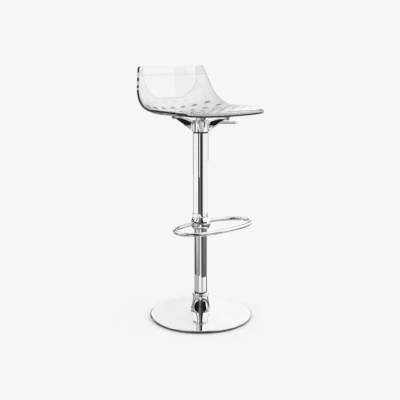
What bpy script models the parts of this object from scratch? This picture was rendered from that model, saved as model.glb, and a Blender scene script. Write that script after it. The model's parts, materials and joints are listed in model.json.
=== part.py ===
"""Swivelling bar stool on a gas lift: a clear moulded seat on a four-armed bracket, a chromed
sleeve that slides over a chromed column, an oval footrest and a round domed base.

Metres, +Z up, the seat's front towards -Y. The origin is on the floor under the column.
The stool is modelled with the seat fully raised.
"""

import math

import bmesh
import bpy
import numpy as np
from mathutils import Matrix, Vector

OBJECT_NAME = "bar_stool"

# Clearances
GAP = 0.0003  # between pieces that touch
SLIDE_GAP = 0.0004  # between pieces that slide or turn on each other

# Round base
BASE_RADIUS = 0.200
BASE_WALL = 0.0025
RIM_LIFT = 0.0028  # the rim's lower edge above the floor
RIM_HEIGHT = 0.0080
RIM_ROUND = 0.0045
DOME_RISE = 0.0135
FLOOR_RING_WIDTH = 0.014
FLOOR_RING_LIP = 0.0040  # wall that stands up inside the rim
BALLAST_LIFT = 0.0040  # underside of the ballast above the floor
BALLAST_INSET = 0.0100  # between the ballast and the rim's inner wall
SOCKET_RADIUS = 0.055
SOCKET_FLANGE = 0.0065
SOCKET_SPIGOT = 0.0110
SOCKET_WALL = 0.0050

# Column and its foot
COLUMN_RADIUS = 0.0250
COLUMN_WALL = 0.0020
BELL_RADIUS = 0.0400
BELL_NECK_RADIUS = 0.0285
BELL_HEIGHT = 0.0580
BELL_WALL = 0.0020
BELL_ROUND = 0.0070
RING_BEADS = 2
RING_BEAD_HEIGHT = 0.0058
RING_RADIUS = 0.0330

# Lift
STROKE = 0.250
LOWEST_CLEARANCE = 0.0100  # between the foot ring and the collar with the seat right down
BUSH_LENGTH = 0.060
BUSH_FLANGE = 0.0030
COLUMN_OVERLAP = 0.0625  # column inside the collar and sleeve with the seat right up
CYLINDER_RADIUS = 0.0140
CYLINDER_WALL = 0.0020
CYLINDER_CAP = 0.0030
CYLINDER_BELOW_BUSH = 0.0220
ROD_RADIUS = 0.0050
ROD_NECK_RADIUS = 0.0040
PISTON_HEIGHT = 0.0150
PISTON_ABOVE_CAP = 0.0080
END_PLATE = 0.0060
BEARING_WASHER = 0.0010
BEARING_CAGE = 0.0030
BEARING_RADIUS = 0.0130
CLIP_RADIUS = 0.0085
CLIP_HEIGHT = 0.0020
ROD_TAIL = 0.0020  # rod that stands out under its clip
BUMPER_RADIUS = 0.0120
BUMPER_CLEARANCE = 0.0050  # between the cylinder and the bumper with the seat right down

# Sleeve, collar and footrest
SLEEVE_RADIUS = 0.0290
SLEEVE_WALL = 0.0020
SLEEVE_LENGTH = 0.3643
SEAM_RING_HEIGHT = 0.0026
GLIDE_HEIGHT = 0.0400
GLIDE_FLANGE = 0.0027
COLLAR_LIP_RADIUS = 0.0280
COLLAR_LIP_HEIGHT = 0.0060
COLLAR_LEDGE = 0.0078  # from the lip's underside up to the ledge that the glide sits on
BALL_RADIUS = 0.0390
BALL_BELOW = 0.0171  # from the ball's centre down to its flat underside
COLLAR_NECK_WALL = 0.0012
COLLAR_NECK_HEIGHT = 0.0180
FOOT_TUBE_RADIUS = 0.0075
FOOT_HALF_WIDTH = 0.172  # of the tube's centre line
FOOT_HALF_DEPTH = 0.080
FOOT_FORWARD = 0.075  # from the column's axis to the loop's centre
FOOT_SQUARENESS = 2.3
FOOT_SOCKET = 0.0016  # wall left between a tube end and the sleeve
SET_SCREW_RADIUS = 0.0025

# Seat bracket
HUB_RADIUS = 0.0305
HUB_HEIGHT = 0.0424
TAIL_LENGTH = 0.0500
CYLINDER_SEAT = 0.0190  # how far the gas cylinder reaches into the hub
HUB_LEDGE = 0.0036
ARM_SPLAY = math.radians(54)  # of each arm from the seat's cross axis
ARM_REACH = 0.103
ARM_TOP_ROOT = 0.0386
ARM_TOP_RUN = 0.078  # from the axis to where an arm's top comes level with its pad
ARM_TIP_DEPTH = 0.0030
ARM_HALF_WIDTH_ROOT = 0.0125
ARM_HALF_WIDTH_TIP = 0.0100
ARM_KEEL_HALF_WIDTH = 0.0055
ARM_FLARE = 0.0030
ARM_FLARE_RUN = 0.036
ARM_RIDGE = 0.05  # share of an arm's depth where its upright side ends, from below
ARM_RIDGE_FLARE = 0.68  # added to that share at the hub
ARM_RIDGE_RUN = 0.025  # from the hub to where nothing is added
PAD_HEIGHT = 0.0540  # seat pads above the hub's underside
PAD_THICKNESS = 0.0070
PAD_RADIUS = 0.0100
WASHER_HEIGHT = 0.0012
WASHER_RADIUS = 0.0090
SCREW_RADIUS = 0.0030
SCREW_HEAD_RADIUS = 0.0055
SCREW_HEAD_HEIGHT = 0.0030
SCREW_GRIP = 0.0062  # screw inside the seat's boss

# Lever and valve
LEVER_RADIUS = 0.0050
LEVER_END = 0.193  # from the column's axis
LEVER_TIP_LENGTH = 0.0160
LEVER_TIP_RADIUS = 0.0056
LEVER_PIVOT = 0.0200  # from the column's axis
LEVER_PIVOT_HEIGHT = 0.0316  # above the hub's underside
LEVER_DROOP = math.radians(3.5)
LEVER_SLOT_SIDE = 0.0010
LEVER_PIN_RADIUS = 0.0020
LEVER_PIN_LENGTH = 0.036
VALVE_RADIUS = 0.0040
VALVE_CHAMFER = 0.0020
VALVE_STEM = 0.0220
VALVE_FLANGE_RADIUS = 0.0060
VALVE_FLANGE = 0.0025

# Seat shell, its inner face
SHELL_WALL = 0.0080
PAN_SAG = 0.0013  # middle of the underside below the boss faces
SEAT_FRONT = 0.2066  # front edge, from the column's axis
SEAT_HALF_WIDTH = 0.2035
TOP_HALF_WIDTH = 0.1595
NARROWING_FROM = 0.030  # rim height above the pan where the sides start to draw in
SIDE_CURL = 2.2  # power of the sideways curve
FRONT_CORNER = 0.100
TOP_CORNER = 0.006
PAN_LIP_RISE = 0.0195  # front edge above the pan, at the middle
PAN_BEND_START = 0.1163
PAN_BEND_RADIUS = 0.072
BACK_ANGLE = math.radians(84)
BACK_RISE = 0.1750
RIM_FRONT_INSET = 0.020
RIM_LIP_RISE = 0.0225
RIM_RISE = 0.0290
RIM_BEND_START = 0.0405
RIM_BEND_RADIUS = 0.110
RIM_ANGLE = math.radians(72)
RIM_TOP_RISE = 0.1785
BOSS_RADIUS = 0.0095
BOSS_SINK = 0.0030  # boss material inside the shell's wall

# Fineness of the meshes
LARGE_STEPS = 48
STEPS = 32
INNER_STEPS = 24
SMALL_STEPS = 12
TUBE_RESOLUTION = 3

# Heights that follow from the sizes above
RIM_TOP_Z = RIM_LIFT + RIM_HEIGHT
CROWN_Z = RIM_TOP_Z + DOME_RISE
SOCKET_TOP_Z = CROWN_Z - BASE_WALL - GAP - DOME_RISE * (SOCKET_RADIUS / BASE_RADIUS) ** 2
COLUMN_Z = SOCKET_TOP_Z + GAP
BELL_Z = CROWN_Z + GAP
RING_Z = BELL_Z + BELL_HEIGHT + GAP
RING_TOP_Z = RING_Z + RING_BEADS * RING_BEAD_HEIGHT
COLLAR_Z = RING_TOP_Z + LOWEST_CLEARANCE + STROKE
LEDGE_Z = COLLAR_Z + COLLAR_LEDGE
BALL_Z = COLLAR_Z + COLLAR_LIP_HEIGHT + BALL_BELOW
GLIDE_Z = LEDGE_Z + GAP
SLEEVE_Z = GLIDE_Z + GLIDE_FLANGE + GAP
SLEEVE_TOP_Z = SLEEVE_Z + SLEEVE_LENGTH
COLUMN_TOP_Z = COLLAR_Z + COLUMN_OVERLAP
BUSH_Z = COLUMN_TOP_Z - BUSH_LENGTH
SEAM_Z = SLEEVE_TOP_Z + GAP
HUB_Z = SEAM_Z + SEAM_RING_HEIGHT + GAP
CYLINDER_TOP_Z = HUB_Z + CYLINDER_SEAT
CYLINDER_Z = BUSH_Z - CYLINDER_BELOW_BUSH
END_PLATE_Z = SOCKET_TOP_Z + SOCKET_SPIGOT + GAP
LOWER_WASHER_Z = END_PLATE_Z + END_PLATE + GAP
CAGE_Z = LOWER_WASHER_Z + BEARING_WASHER + GAP
UPPER_WASHER_Z = CAGE_Z + BEARING_CAGE + GAP
SHOULDER_Z = UPPER_WASHER_Z + BEARING_WASHER + GAP
CLIP_Z = END_PLATE_Z - GAP - CLIP_HEIGHT
PISTON_Z = CYLINDER_Z + CYLINDER_CAP + PISTON_ABOVE_CAP
PAD_Z = HUB_Z + PAD_HEIGHT
WASHER_Z = PAD_Z + GAP
BOSS_Z = WASHER_Z + WASHER_HEIGHT + GAP
PAN_Z = BOSS_Z + SHELL_WALL - PAN_SAG
PIVOT_Z = HUB_Z + LEVER_PIVOT_HEIGHT

# Radii and lengths that follow
COLUMN_BORE = COLUMN_RADIUS - COLUMN_WALL
SLEEVE_BORE = SLEEVE_RADIUS - SLEEVE_WALL
CYLINDER_BORE = CYLINDER_RADIUS - CYLINDER_WALL
COLUMN_CLEAR = COLUMN_RADIUS + SLIDE_GAP
COLLAR_NECK_RADIUS = SLEEVE_RADIUS + GAP + COLLAR_NECK_WALL
BEARING_BORE = ROD_NECK_RADIUS + SLIDE_GAP
TAIL_RADIUS = SLEEVE_BORE - GAP
FOOT_SOCKET_X = SLEEVE_RADIUS + GAP + FOOT_SOCKET
ARM_ANGLES = [ARM_SPLAY, math.pi - ARM_SPLAY, math.pi + ARM_SPLAY, -ARM_SPLAY]

# Stretches of the seat profile, as shares of its parameter: pan, then bend, then back
PAN_END, BEND_END = 0.55, 0.80


def clear_scene():
    for obj in list(bpy.data.objects):
        bpy.data.objects.remove(obj, do_unlink=True)


def make_collection(name):
    collection = bpy.data.collections.new(name)
    bpy.context.scene.collection.children.link(collection)
    return collection


def make_material(name, colour, roughness, metallic=0.0, transmission=0.0):
    made = bpy.data.materials.new(name)
    made.use_nodes = True
    shader = made.node_tree.nodes["Principled BSDF"]
    shader.inputs["Base Color"].default_value = (*colour, 1.0)
    shader.inputs["Roughness"].default_value = roughness
    shader.inputs["Metallic"].default_value = metallic
    shader.inputs["Transmission Weight"].default_value = transmission
    made.diffuse_color = (*colour, 1.0)
    return made


def add_empty(name, location, parent=None):
    """An empty on a joint's axis, given in world coordinates."""
    empty = bpy.data.objects.new(name, None)
    empty.empty_display_size = 0.03
    PARTS.objects.link(empty)
    empty.parent = parent
    above = empty_place(parent)
    empty.location = Vector(location) - above
    return empty


def empty_place(empty):
    place = Vector((0, 0, 0))
    while empty is not None:
        place += empty.location
        empty = empty.parent
    return place


def add_object(name, data, material, parent, location):
    """A sub-part under its body's empty, placed in world coordinates."""
    obj = bpy.data.objects.new(name, data)
    PARTS.objects.link(obj)
    if not data.materials:
        data.materials.append(material)
    obj.parent = parent
    obj.location = Vector(location) - empty_place(parent)
    return obj


def add_helper(name, data, location=(0, 0, 0), parent=None):
    """A cutter, or a shape to be joined to a sub-part."""
    obj = bpy.data.objects.new(name, data)
    HELPERS.objects.link(obj)
    obj.hide_render = True
    obj.display_type = "WIRE"
    obj.parent = parent
    obj.location = Vector(location) - empty_place(parent)
    return obj


def combine(obj, other, operation):
    modifier = obj.modifiers.new(f"{operation.lower()}_{other.name}", "BOOLEAN")
    modifier.operation = operation
    modifier.object = other


def profile_mesh(name, points, closed):
    """A profile in the XZ plane, run down its outer side."""
    count = len(points)
    edges = [(i, i + 1) for i in range(count - 1)]
    if closed:
        edges.append((count - 1, 0))
    mesh = bpy.data.meshes.new(name)
    mesh.from_pydata([(r, 0, z) for r, z in points], edges, [])
    return mesh


def add_screw(obj, steps):
    screw = obj.modifiers.new("turn", "SCREW")
    screw.axis = "Z"
    screw.steps = steps
    screw.render_steps = steps
    screw.use_merge_vertices = True
    screw.merge_threshold = 0.00001
    screw.use_smooth_shade = True


def turned(name, points, material, parent, place, steps=STEPS):
    """A turned piece. Its profile is closed unless it starts and ends on the axis."""
    closed = points[0][0] > 0
    obj = add_object(name, profile_mesh(name, points, closed), material, parent, place)
    add_screw(obj, steps)
    return obj


def turned_helper(name, points, location=(0, 0, 0), steps=STEPS, parent=None):
    obj = add_helper(name, profile_mesh(name, points, points[0][0] > 0), location, parent)
    add_screw(obj, steps)
    return obj


def ring_profile(inner, outer, height):
    return [(outer, height), (outer, 0), (inner, 0), (inner, height)]


def disc_profile(radius, low, high):
    return [(0, high), (radius, high), (radius, low), (0, low)]


def arc(centre, radius, start, end, steps):
    """Points on an arc in the profile plane, angles in degrees from +X."""
    angles = np.radians(np.linspace(start, end, steps + 1))
    return [(centre[0] + radius * math.cos(a), centre[1] + radius * math.sin(a)) for a in angles]


def dome_height(radius):
    """Top of the base above the floor at a distance from the axis."""
    return CROWN_Z - DOME_RISE * (radius / BASE_RADIUS) ** 2


def base_plate(parent, material):
    """Domed pressing with a rounded rim, open underneath."""
    hole = COLUMN_RADIUS + GAP
    inside = BASE_RADIUS - BASE_WALL
    edge = BASE_RADIUS - RIM_ROUND
    top = [(r, dome_height(r)) for r in np.linspace(hole, edge, 6)]
    rim = arc((edge, dome_height(edge) - RIM_ROUND), RIM_ROUND, 72, 0, 3)
    under = [(r, dome_height(r) - BASE_WALL) for r in np.linspace(inside, hole, 5)]
    bottom = [(BASE_RADIUS, RIM_LIFT), (inside, RIM_LIFT)]
    turned("base_plate", top + rim + bottom + under, material, parent, (0, 0, 0), LARGE_STEPS)


def base_ballast(parent, material):
    """Cast weight under the dome, round the column's socket."""
    inner = SOCKET_RADIUS + GAP
    outer = BASE_RADIUS - BASE_WALL - BALLAST_INSET
    top = [(r, dome_height(r) - BASE_WALL - GAP) for r in np.linspace(inner, outer, 4)]
    bottom = [(outer, BALLAST_LIFT), (inner, BALLAST_LIFT)]
    turned("base_ballast", top + bottom, material, parent, (0, 0, 0), LARGE_STEPS)


def floor_ring(parent, material):
    """Edging that the stool stands on, with a lip inside the rim."""
    outer = BASE_RADIUS - BASE_WALL - GAP
    lip = outer - FLOOR_RING_LIP
    inner = outer - FLOOR_RING_WIDTH
    tread = RIM_LIFT - GAP
    lip_top = dome_height(outer) - BASE_WALL - GAP - DOME_RISE * 2 * FLOOR_RING_LIP / BASE_RADIUS
    points = [
        (lip, lip_top),
        (outer, lip_top),
        (outer, 0),
        (inner, 0),
        (inner, tread),
        (lip, tread),
    ]
    turned("floor_ring", points, material, parent, (0, 0, 0), LARGE_STEPS)


def base_socket(parent, material):
    """Flange under the dome with a spigot inside the column's foot."""
    spigot = COLUMN_BORE - GAP
    bore = spigot - SOCKET_WALL
    points = [
        (spigot, SOCKET_SPIGOT),
        (spigot, 0),
        (SOCKET_RADIUS, 0),
        (SOCKET_RADIUS, -SOCKET_FLANGE),
        (bore, -SOCKET_FLANGE),
        (bore, SOCKET_SPIGOT),
    ]
    turned("base_socket", points, material, parent, (0, 0, SOCKET_TOP_Z), INNER_STEPS)


def column_tube(parent, material):
    points = ring_profile(COLUMN_BORE, COLUMN_RADIUS, COLUMN_TOP_Z - COLUMN_Z)
    turned("column_tube", points, material, parent, (0, 0, COLUMN_Z))


def bell_radius(share):
    """Outer radius of the bell above its rounded foot, share 0 at the foot and 1 at the neck."""
    sweep = 0.5 + 0.5 * math.cos(math.pi * share**0.85)
    return BELL_NECK_RADIUS + (BELL_RADIUS - BELL_NECK_RADIUS) * sweep


def base_bell(parent, material):
    """Pressed cover over the column's foot, wide at the base and drawn in under the ring."""
    clear = COLUMN_RADIUS + GAP
    foot = BELL_RADIUS - BELL_ROUND
    wall_z = np.linspace(BELL_HEIGHT, BELL_ROUND, 7)
    shares = (wall_z - BELL_ROUND) / (BELL_HEIGHT - BELL_ROUND)
    outside = [(bell_radius(share), z) for share, z in zip(shares, wall_z)]
    foot_round = arc((foot, BELL_ROUND), BELL_ROUND, 0, -90, 3)[1:]
    inside = [(foot - BELL_WALL, 0)]
    inside += [(max(r - BELL_WALL, clear), z) for r, z in outside[:0:-2]]
    inside += [(clear, BELL_HEIGHT)]
    turned("base_bell", outside + foot_round + inside, material, parent, (0, 0, BELL_Z))


def bell_ring(parent, material):
    """Ring of round beads on the column, closing the bell's mouth."""
    bore = COLUMN_RADIUS + GAP
    half = RING_BEAD_HEIGHT / 2
    outside = []
    for bead in reversed(range(RING_BEADS)):
        middle = (RING_RADIUS - half, (2 * bead + 1) * half)
        outside += arc(middle, half, 90, -90, 4)[bead < RING_BEADS - 1 :]
    points = outside + [(bore, 0), (bore, RING_BEADS * RING_BEAD_HEIGHT)]
    turned("bell_ring", points, material, parent, (0, 0, RING_Z))


def column_end_plate(parent, material):
    points = ring_profile(BEARING_BORE, COLUMN_BORE - GAP, END_PLATE)
    turned("column_end_plate", points, material, parent, (0, 0, END_PLATE_Z), SMALL_STEPS)


def guide_bush(parent, material):
    """Plastic bush in the column's mouth, with a flange on its edge."""
    bore = CYLINDER_RADIUS + SLIDE_GAP
    seat = BUSH_LENGTH + GAP
    points = [
        (COLUMN_RADIUS, seat + BUSH_FLANGE),
        (COLUMN_RADIUS, seat),
        (COLUMN_BORE - GAP, seat),
        (COLUMN_BORE - GAP, 0),
        (bore, 0),
        (bore, seat + BUSH_FLANGE),
    ]
    turned("guide_bush", points, material, parent, (0, 0, BUSH_Z), INNER_STEPS)


def bearing_pieces(base, rod, steel, cage):
    """Thrust bearing under the rod's shoulder: two washers and a ball cage."""
    washer = ring_profile(BEARING_BORE, BEARING_RADIUS, BEARING_WASHER)
    turned("bearing_lower_washer", washer, steel, base, (0, 0, LOWER_WASHER_Z), SMALL_STEPS)
    points = ring_profile(BEARING_BORE, BEARING_RADIUS, BEARING_CAGE)
    turned("bearing_ball_cage", points, cage, rod, (0, 0, CAGE_Z), SMALL_STEPS)
    turned("bearing_upper_washer", washer, steel, rod, (0, 0, UPPER_WASHER_Z), SMALL_STEPS)


def piston_rod(parent, material):
    """Rod with a shoulder on the bearing and a neck through the end plate."""
    top = PISTON_Z + PISTON_HEIGHT + GAP + ROD_TAIL
    low = CLIP_Z - ROD_TAIL
    points = [
        (0, top),
        (ROD_NECK_RADIUS, top),
        (ROD_NECK_RADIUS, PISTON_Z - GAP),
        (ROD_RADIUS, PISTON_Z - GAP),
        (ROD_RADIUS, SHOULDER_Z),
        (ROD_NECK_RADIUS, SHOULDER_Z),
        (ROD_NECK_RADIUS, low),
        (0, low),
    ]
    turned("piston_rod", points, material, parent, (0, 0, 0), SMALL_STEPS)


def piston(parent, material):
    points = ring_profile(ROD_NECK_RADIUS + GAP, CYLINDER_BORE - SLIDE_GAP, PISTON_HEIGHT)
    turned("piston", points, material, parent, (0, 0, PISTON_Z), SMALL_STEPS)


def rod_clip(parent, material):
    points = ring_profile(ROD_NECK_RADIUS + GAP, CLIP_RADIUS, CLIP_HEIGHT)
    turned("rod_clip", points, material, parent, (0, 0, CLIP_Z), SMALL_STEPS)


def bump_stop(parent, material):
    """Rubber stop that the cylinder comes down to."""
    low = SHOULDER_Z + GAP
    high = CYLINDER_Z - STROKE - BUMPER_CLEARANCE
    points = ring_profile(ROD_RADIUS + GAP, BUMPER_RADIUS, high - low)
    turned("bump_stop", points, material, parent, (0, 0, low), SMALL_STEPS)


def gas_cylinder(parent, material):
    """Gas spring's tube, with a gland round the rod and a valve hole in its top."""
    height = CYLINDER_TOP_Z - CYLINDER_Z
    rod_hole = ROD_RADIUS + SLIDE_GAP
    valve_hole = VALVE_RADIUS + SLIDE_GAP
    points = [
        (valve_hole, height),
        (CYLINDER_RADIUS, height),
        (CYLINDER_RADIUS, 0),
        (rod_hole, 0),
        (rod_hole, CYLINDER_CAP),
        (CYLINDER_BORE, CYLINDER_CAP),
        (CYLINDER_BORE, height - CYLINDER_CAP),
        (valve_hole, height - CYLINDER_CAP),
    ]
    turned("gas_cylinder", points, material, parent, (0, 0, CYLINDER_Z), INNER_STEPS)


def sleeve_tube(parent, material):
    points = ring_profile(SLEEVE_BORE, SLEEVE_RADIUS, SLEEVE_LENGTH)
    turned("sleeve_tube", points, material, parent, (0, 0, SLEEVE_Z))


def sleeve_glide(parent, material):
    """Bush at the sleeve's foot that slides on the column."""
    points = [
        (SLEEVE_BORE - GAP, GLIDE_HEIGHT),
        (SLEEVE_BORE - GAP, GLIDE_FLANGE),
        (SLEEVE_RADIUS, GLIDE_FLANGE),
        (SLEEVE_RADIUS, 0),
        (COLUMN_CLEAR, 0),
        (COLUMN_CLEAR, GLIDE_HEIGHT),
    ]
    turned("sleeve_glide", points, material, parent, (0, 0, GLIDE_Z))


def seam_ring(parent, material):
    points = ring_profile(TAIL_RADIUS + GAP, SLEEVE_RADIUS, SEAM_RING_HEIGHT)
    turned("seam_ring", points, material, parent, (0, 0, SEAM_Z))


def collar_profile():
    """Ball with a lip below and a thin neck above, bored for the sleeve down to a ledge."""
    bore = SLEEVE_RADIUS + GAP
    column = COLUMN_CLEAR + GAP
    centre = COLLAR_LIP_HEIGHT + BALL_BELOW
    ball_top = math.degrees(math.acos(COLLAR_NECK_RADIUS / BALL_RADIUS))
    ball_low = -math.degrees(math.asin(BALL_BELOW / BALL_RADIUS))
    neck_top = centre + BALL_RADIUS * math.sin(math.radians(ball_top)) + COLLAR_NECK_HEIGHT
    outside = [(COLLAR_NECK_RADIUS, neck_top)]
    outside += arc((0, centre), BALL_RADIUS, ball_top, ball_low, 8)
    outside += [(COLLAR_LIP_RADIUS, COLLAR_LIP_HEIGHT), (COLLAR_LIP_RADIUS, 0)]
    inside = [(column, 0), (column, COLLAR_LEDGE), (bore, COLLAR_LEDGE), (bore, neck_top)]
    return outside + inside


def footrest_collar(parent, material):
    obj = turned("footrest_collar", collar_profile(), material, parent, (0, 0, COLLAR_Z))
    combine(obj, tube_mesh("footrest_pockets", FOOT_TUBE_RADIUS + GAP, GAP, parent), "DIFFERENCE")
    hole = disc_profile(SET_SCREW_RADIUS + GAP, 0, BALL_RADIUS)
    cutter = turned_helper("set_screw_hole", hole, (0, SLEEVE_RADIUS, BALL_Z), SMALL_STEPS, parent)
    cutter.rotation_euler.x = math.radians(-90)
    combine(obj, cutter, "DIFFERENCE")


def collar_set_screw(parent, material):
    """Grub screw at the back of the ball, bearing on the sleeve."""
    start = SLEEVE_RADIUS + GAP
    points = disc_profile(SET_SCREW_RADIUS, start, BALL_RADIUS - GAP)
    obj = turned("collar_set_screw", points, material, parent, (0, 0, BALL_Z), SMALL_STEPS)
    obj.rotation_euler.x = math.radians(-90)


def footrest_path(start_x, count=45):
    """Centre line of the footrest: an oval, open at the back between the collar's sockets."""
    start = math.acos((start_x / FOOT_HALF_WIDTH) ** (FOOT_SQUARENESS / 2))
    angles = np.linspace(start, -math.pi - start, count)
    power = 2 / FOOT_SQUARENESS
    x = FOOT_HALF_WIDTH * np.sign(np.cos(angles)) * np.abs(np.cos(angles)) ** power
    y = FOOT_HALF_DEPTH * np.sign(np.sin(angles)) * np.abs(np.sin(angles)) ** power
    return np.stack([x, y - FOOT_FORWARD, 0 * x], axis=1)


def tube_curve(name, path, radius):
    curve = bpy.data.curves.new(name, "CURVE")
    curve.dimensions = "3D"
    curve.bevel_depth = radius
    curve.bevel_resolution = TUBE_RESOLUTION
    curve.use_fill_caps = True
    spline = curve.splines.new("POLY")
    spline.points.add(len(path) - 1)
    for point, place in zip(spline.points, path):
        point.co = (*place, 1)
    return curve


def footrest_ring(parent, material):
    path = footrest_path(FOOT_SOCKET_X + GAP)
    curve = tube_curve("footrest_ring", path, FOOT_TUBE_RADIUS)
    add_object("footrest_ring", curve, material, parent, (0, 0, BALL_Z))


def tube_mesh(name, radius, reach, parent):
    """The footrest's tube as a closed mesh, for cutting its sockets."""
    curve = tube_curve(name, footrest_path(FOOT_SOCKET_X + GAP - reach), radius)
    source = add_helper(f"{name}_curve", curve)
    graph = bpy.context.evaluated_depsgraph_get()
    mesh = bpy.data.meshes.new_from_object(source.evaluated_get(graph))
    bpy.data.objects.remove(source)
    welded = bmesh.new()
    welded.from_mesh(mesh)
    bmesh.ops.remove_doubles(welded, verts=welded.verts, dist=0.00001)
    bmesh.ops.recalc_face_normals(welded, faces=welded.faces)
    welded.to_mesh(mesh)
    welded.free()
    return add_helper(name, mesh, (0, 0, BALL_Z), parent)


def loft(name, sections):
    """A closed mesh through equal-length sections, each running the same way round."""
    count = len(sections[0])
    points = [point for section in sections for point in section]
    faces = [tuple(reversed(range(count)))]
    for ring in range(len(sections) - 1):
        for side in range(count):
            after = (side + 1) % count
            low, high = ring * count, (ring + 1) * count
            faces.append((low + side, low + after, high + after, high + side))
    faces.append(tuple(range(len(points) - count, len(points))))
    mesh = bpy.data.meshes.new(name)
    mesh.from_pydata(points, [], faces)
    welded = bmesh.new()
    welded.from_mesh(mesh)
    bmesh.ops.recalc_face_normals(welded, faces=welded.faces)
    welded.to_mesh(mesh)
    welded.free()
    return mesh


def arm_section(radius):
    """Six-sided section of a bracket arm at a distance from the axis: flat top, drawn-in keel."""
    along = (radius - HUB_RADIUS) / (ARM_REACH - HUB_RADIUS)
    rise = min((radius - HUB_RADIUS) / (ARM_TOP_RUN - HUB_RADIUS), 1)
    tip_low = PAD_HEIGHT - ARM_TIP_DEPTH
    top = ARM_TOP_ROOT + (PAD_HEIGHT - ARM_TOP_ROOT) * rise - GAP
    low = max(tip_low * along, 0) + GAP
    side = ARM_HALF_WIDTH_ROOT + (ARM_HALF_WIDTH_TIP - ARM_HALF_WIDTH_ROOT) * along
    beyond = max(radius - HUB_RADIUS, 0)
    keel = ARM_KEEL_HALF_WIDTH + ARM_FLARE * max(0, 1 - beyond / ARM_FLARE_RUN) ** 2
    ridge_share = ARM_RIDGE + ARM_RIDGE_FLARE * max(0, 1 - beyond / ARM_RIDGE_RUN)
    ridge = low + (top - low) * ridge_share
    half = [(side, top), (side, ridge), (keel, low)]
    return [(radius, y, z) for y, z in half] + [(radius, -y, z) for y, z in reversed(half)]


def arm_stations():
    """Distances from the axis of an arm's sections, from inside the hub to the tip."""
    root = CYLINDER_RADIUS + 2 * GAP
    near = HUB_RADIUS + ARM_RIDGE_RUN
    middle = (near + ARM_TOP_RUN) / 2
    outer = (ARM_TOP_RUN + ARM_REACH) / 2
    return [root, HUB_RADIUS, near, middle, ARM_TOP_RUN, outer, ARM_REACH]


def seat_bracket(parent, material):
    """Cast hub on a tail in the sleeve, with four tapered arms under the seat's bosses."""
    points = [
        (0, HUB_HEIGHT),
        (HUB_RADIUS, HUB_HEIGHT),
        (HUB_RADIUS, 0),
        (TAIL_RADIUS, 0),
        (TAIL_RADIUS, -TAIL_LENGTH),
        (0, -TAIL_LENGTH),
    ]
    obj = turned("seat_bracket", points, material, parent, (0, 0, HUB_Z))
    arm = loft("bracket_arm", [arm_section(r) for r in arm_stations()])
    for angle in ARM_ANGLES:
        shape = add_helper("bracket_arm", arm, (0, 0, HUB_Z), parent)
        shape.rotation_euler.z = angle
        combine(obj, shape, "UNION")
    for x, y in arm_tips():
        pad = disc_profile(PAD_RADIUS, PAD_HEIGHT - PAD_THICKNESS, PAD_HEIGHT)
        shape = turned_helper("bracket_pad", pad, (x, y, HUB_Z), SMALL_STEPS, parent)
        combine(obj, shape, "UNION")
    for cutter in bracket_cutters(parent):
        combine(obj, cutter, "DIFFERENCE")


def bracket_cutters(parent):
    """Cylinder bore, valve hole, lever slot, pin hole and screw holes."""
    past = 2 * TAIL_LENGTH
    bore = disc_profile(CYLINDER_RADIUS + GAP, -past, CYLINDER_SEAT + GAP)
    valve = disc_profile(VALVE_RADIUS + 2 * SLIDE_GAP, 0, past)
    cutters = [
        turned_helper("cylinder_bore", bore, (0, 0, HUB_Z), STEPS, parent),
        turned_helper("valve_hole", valve, (0, 0, HUB_Z), SMALL_STEPS, parent),
        slot_cutter(parent),
    ]
    half = LEVER_PIN_LENGTH / 2 + GAP
    pin = disc_profile(LEVER_PIN_RADIUS + GAP, -half, half)
    place = (LEVER_PIVOT, 0, PIVOT_Z)
    hole = turned_helper("lever_pin_hole", pin, place, SMALL_STEPS, parent)
    hole.rotation_euler.x = math.radians(90)
    cutters.append(hole)
    seat = PAD_HEIGHT - PAD_THICKNESS
    points = [
        (0, past),
        (SCREW_RADIUS + GAP, past),
        (SCREW_RADIUS + GAP, seat),
        (SCREW_HEAD_RADIUS + GAP, seat),
        (SCREW_HEAD_RADIUS + GAP, 0),
        (0, 0),
    ]
    for x, y in arm_tips():
        cutters.append(turned_helper("screw_hole", points, (x, y, HUB_Z), SMALL_STEPS, parent))
    return cutters


def slot_cutter(parent):
    """Slot for the lever, open to the side and to the top."""
    inner = -LEVER_RADIUS - 2 * SLIDE_GAP
    outer = ARM_REACH
    low = CYLINDER_SEAT + GAP + HUB_LEDGE
    high = 2 * HUB_HEIGHT
    half = LEVER_RADIUS + LEVER_SLOT_SIDE
    made = bmesh.new()
    bmesh.ops.create_cube(made, size=1)
    size = Matrix.Diagonal((outer - inner, 2 * half, high - low, 1))
    middle = Matrix.Translation(((outer + inner) / 2, 0, (high + low) / 2))
    bmesh.ops.transform(made, matrix=middle @ size, verts=made.verts)
    mesh = bpy.data.meshes.new("lever_slot")
    made.to_mesh(mesh)
    made.free()
    return add_helper("lever_slot", mesh, (0, 0, HUB_Z), parent)


def arm_tips():
    return [(ARM_REACH * math.cos(a), ARM_REACH * math.sin(a)) for a in ARM_ANGLES]


def seat_fixings(parent, rubber, steel):
    """A rubber washer and a pan-head screw at each arm tip."""
    head_z = PAD_Z - PAD_THICKNESS - GAP
    reach = BOSS_Z + SCREW_GRIP - head_z
    washer = ring_profile(SCREW_RADIUS + GAP, WASHER_RADIUS, WASHER_HEIGHT)
    screw = [
        (0, reach),
        (SCREW_RADIUS, reach),
        (SCREW_RADIUS, 0),
        (SCREW_HEAD_RADIUS, 0),
        (SCREW_HEAD_RADIUS, -SCREW_HEAD_HEIGHT / 2),
        (SCREW_HEAD_RADIUS * 0.7, -SCREW_HEAD_HEIGHT),
        (0, -SCREW_HEAD_HEIGHT),
    ]
    for number, (x, y) in enumerate(arm_tips(), 1):
        turned(f"seat_washer_{number}", washer, rubber, parent, (x, y, WASHER_Z), SMALL_STEPS)
        turned(f"seat_screw_{number}", screw, steel, parent, (x, y, head_z), SMALL_STEPS)


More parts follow.
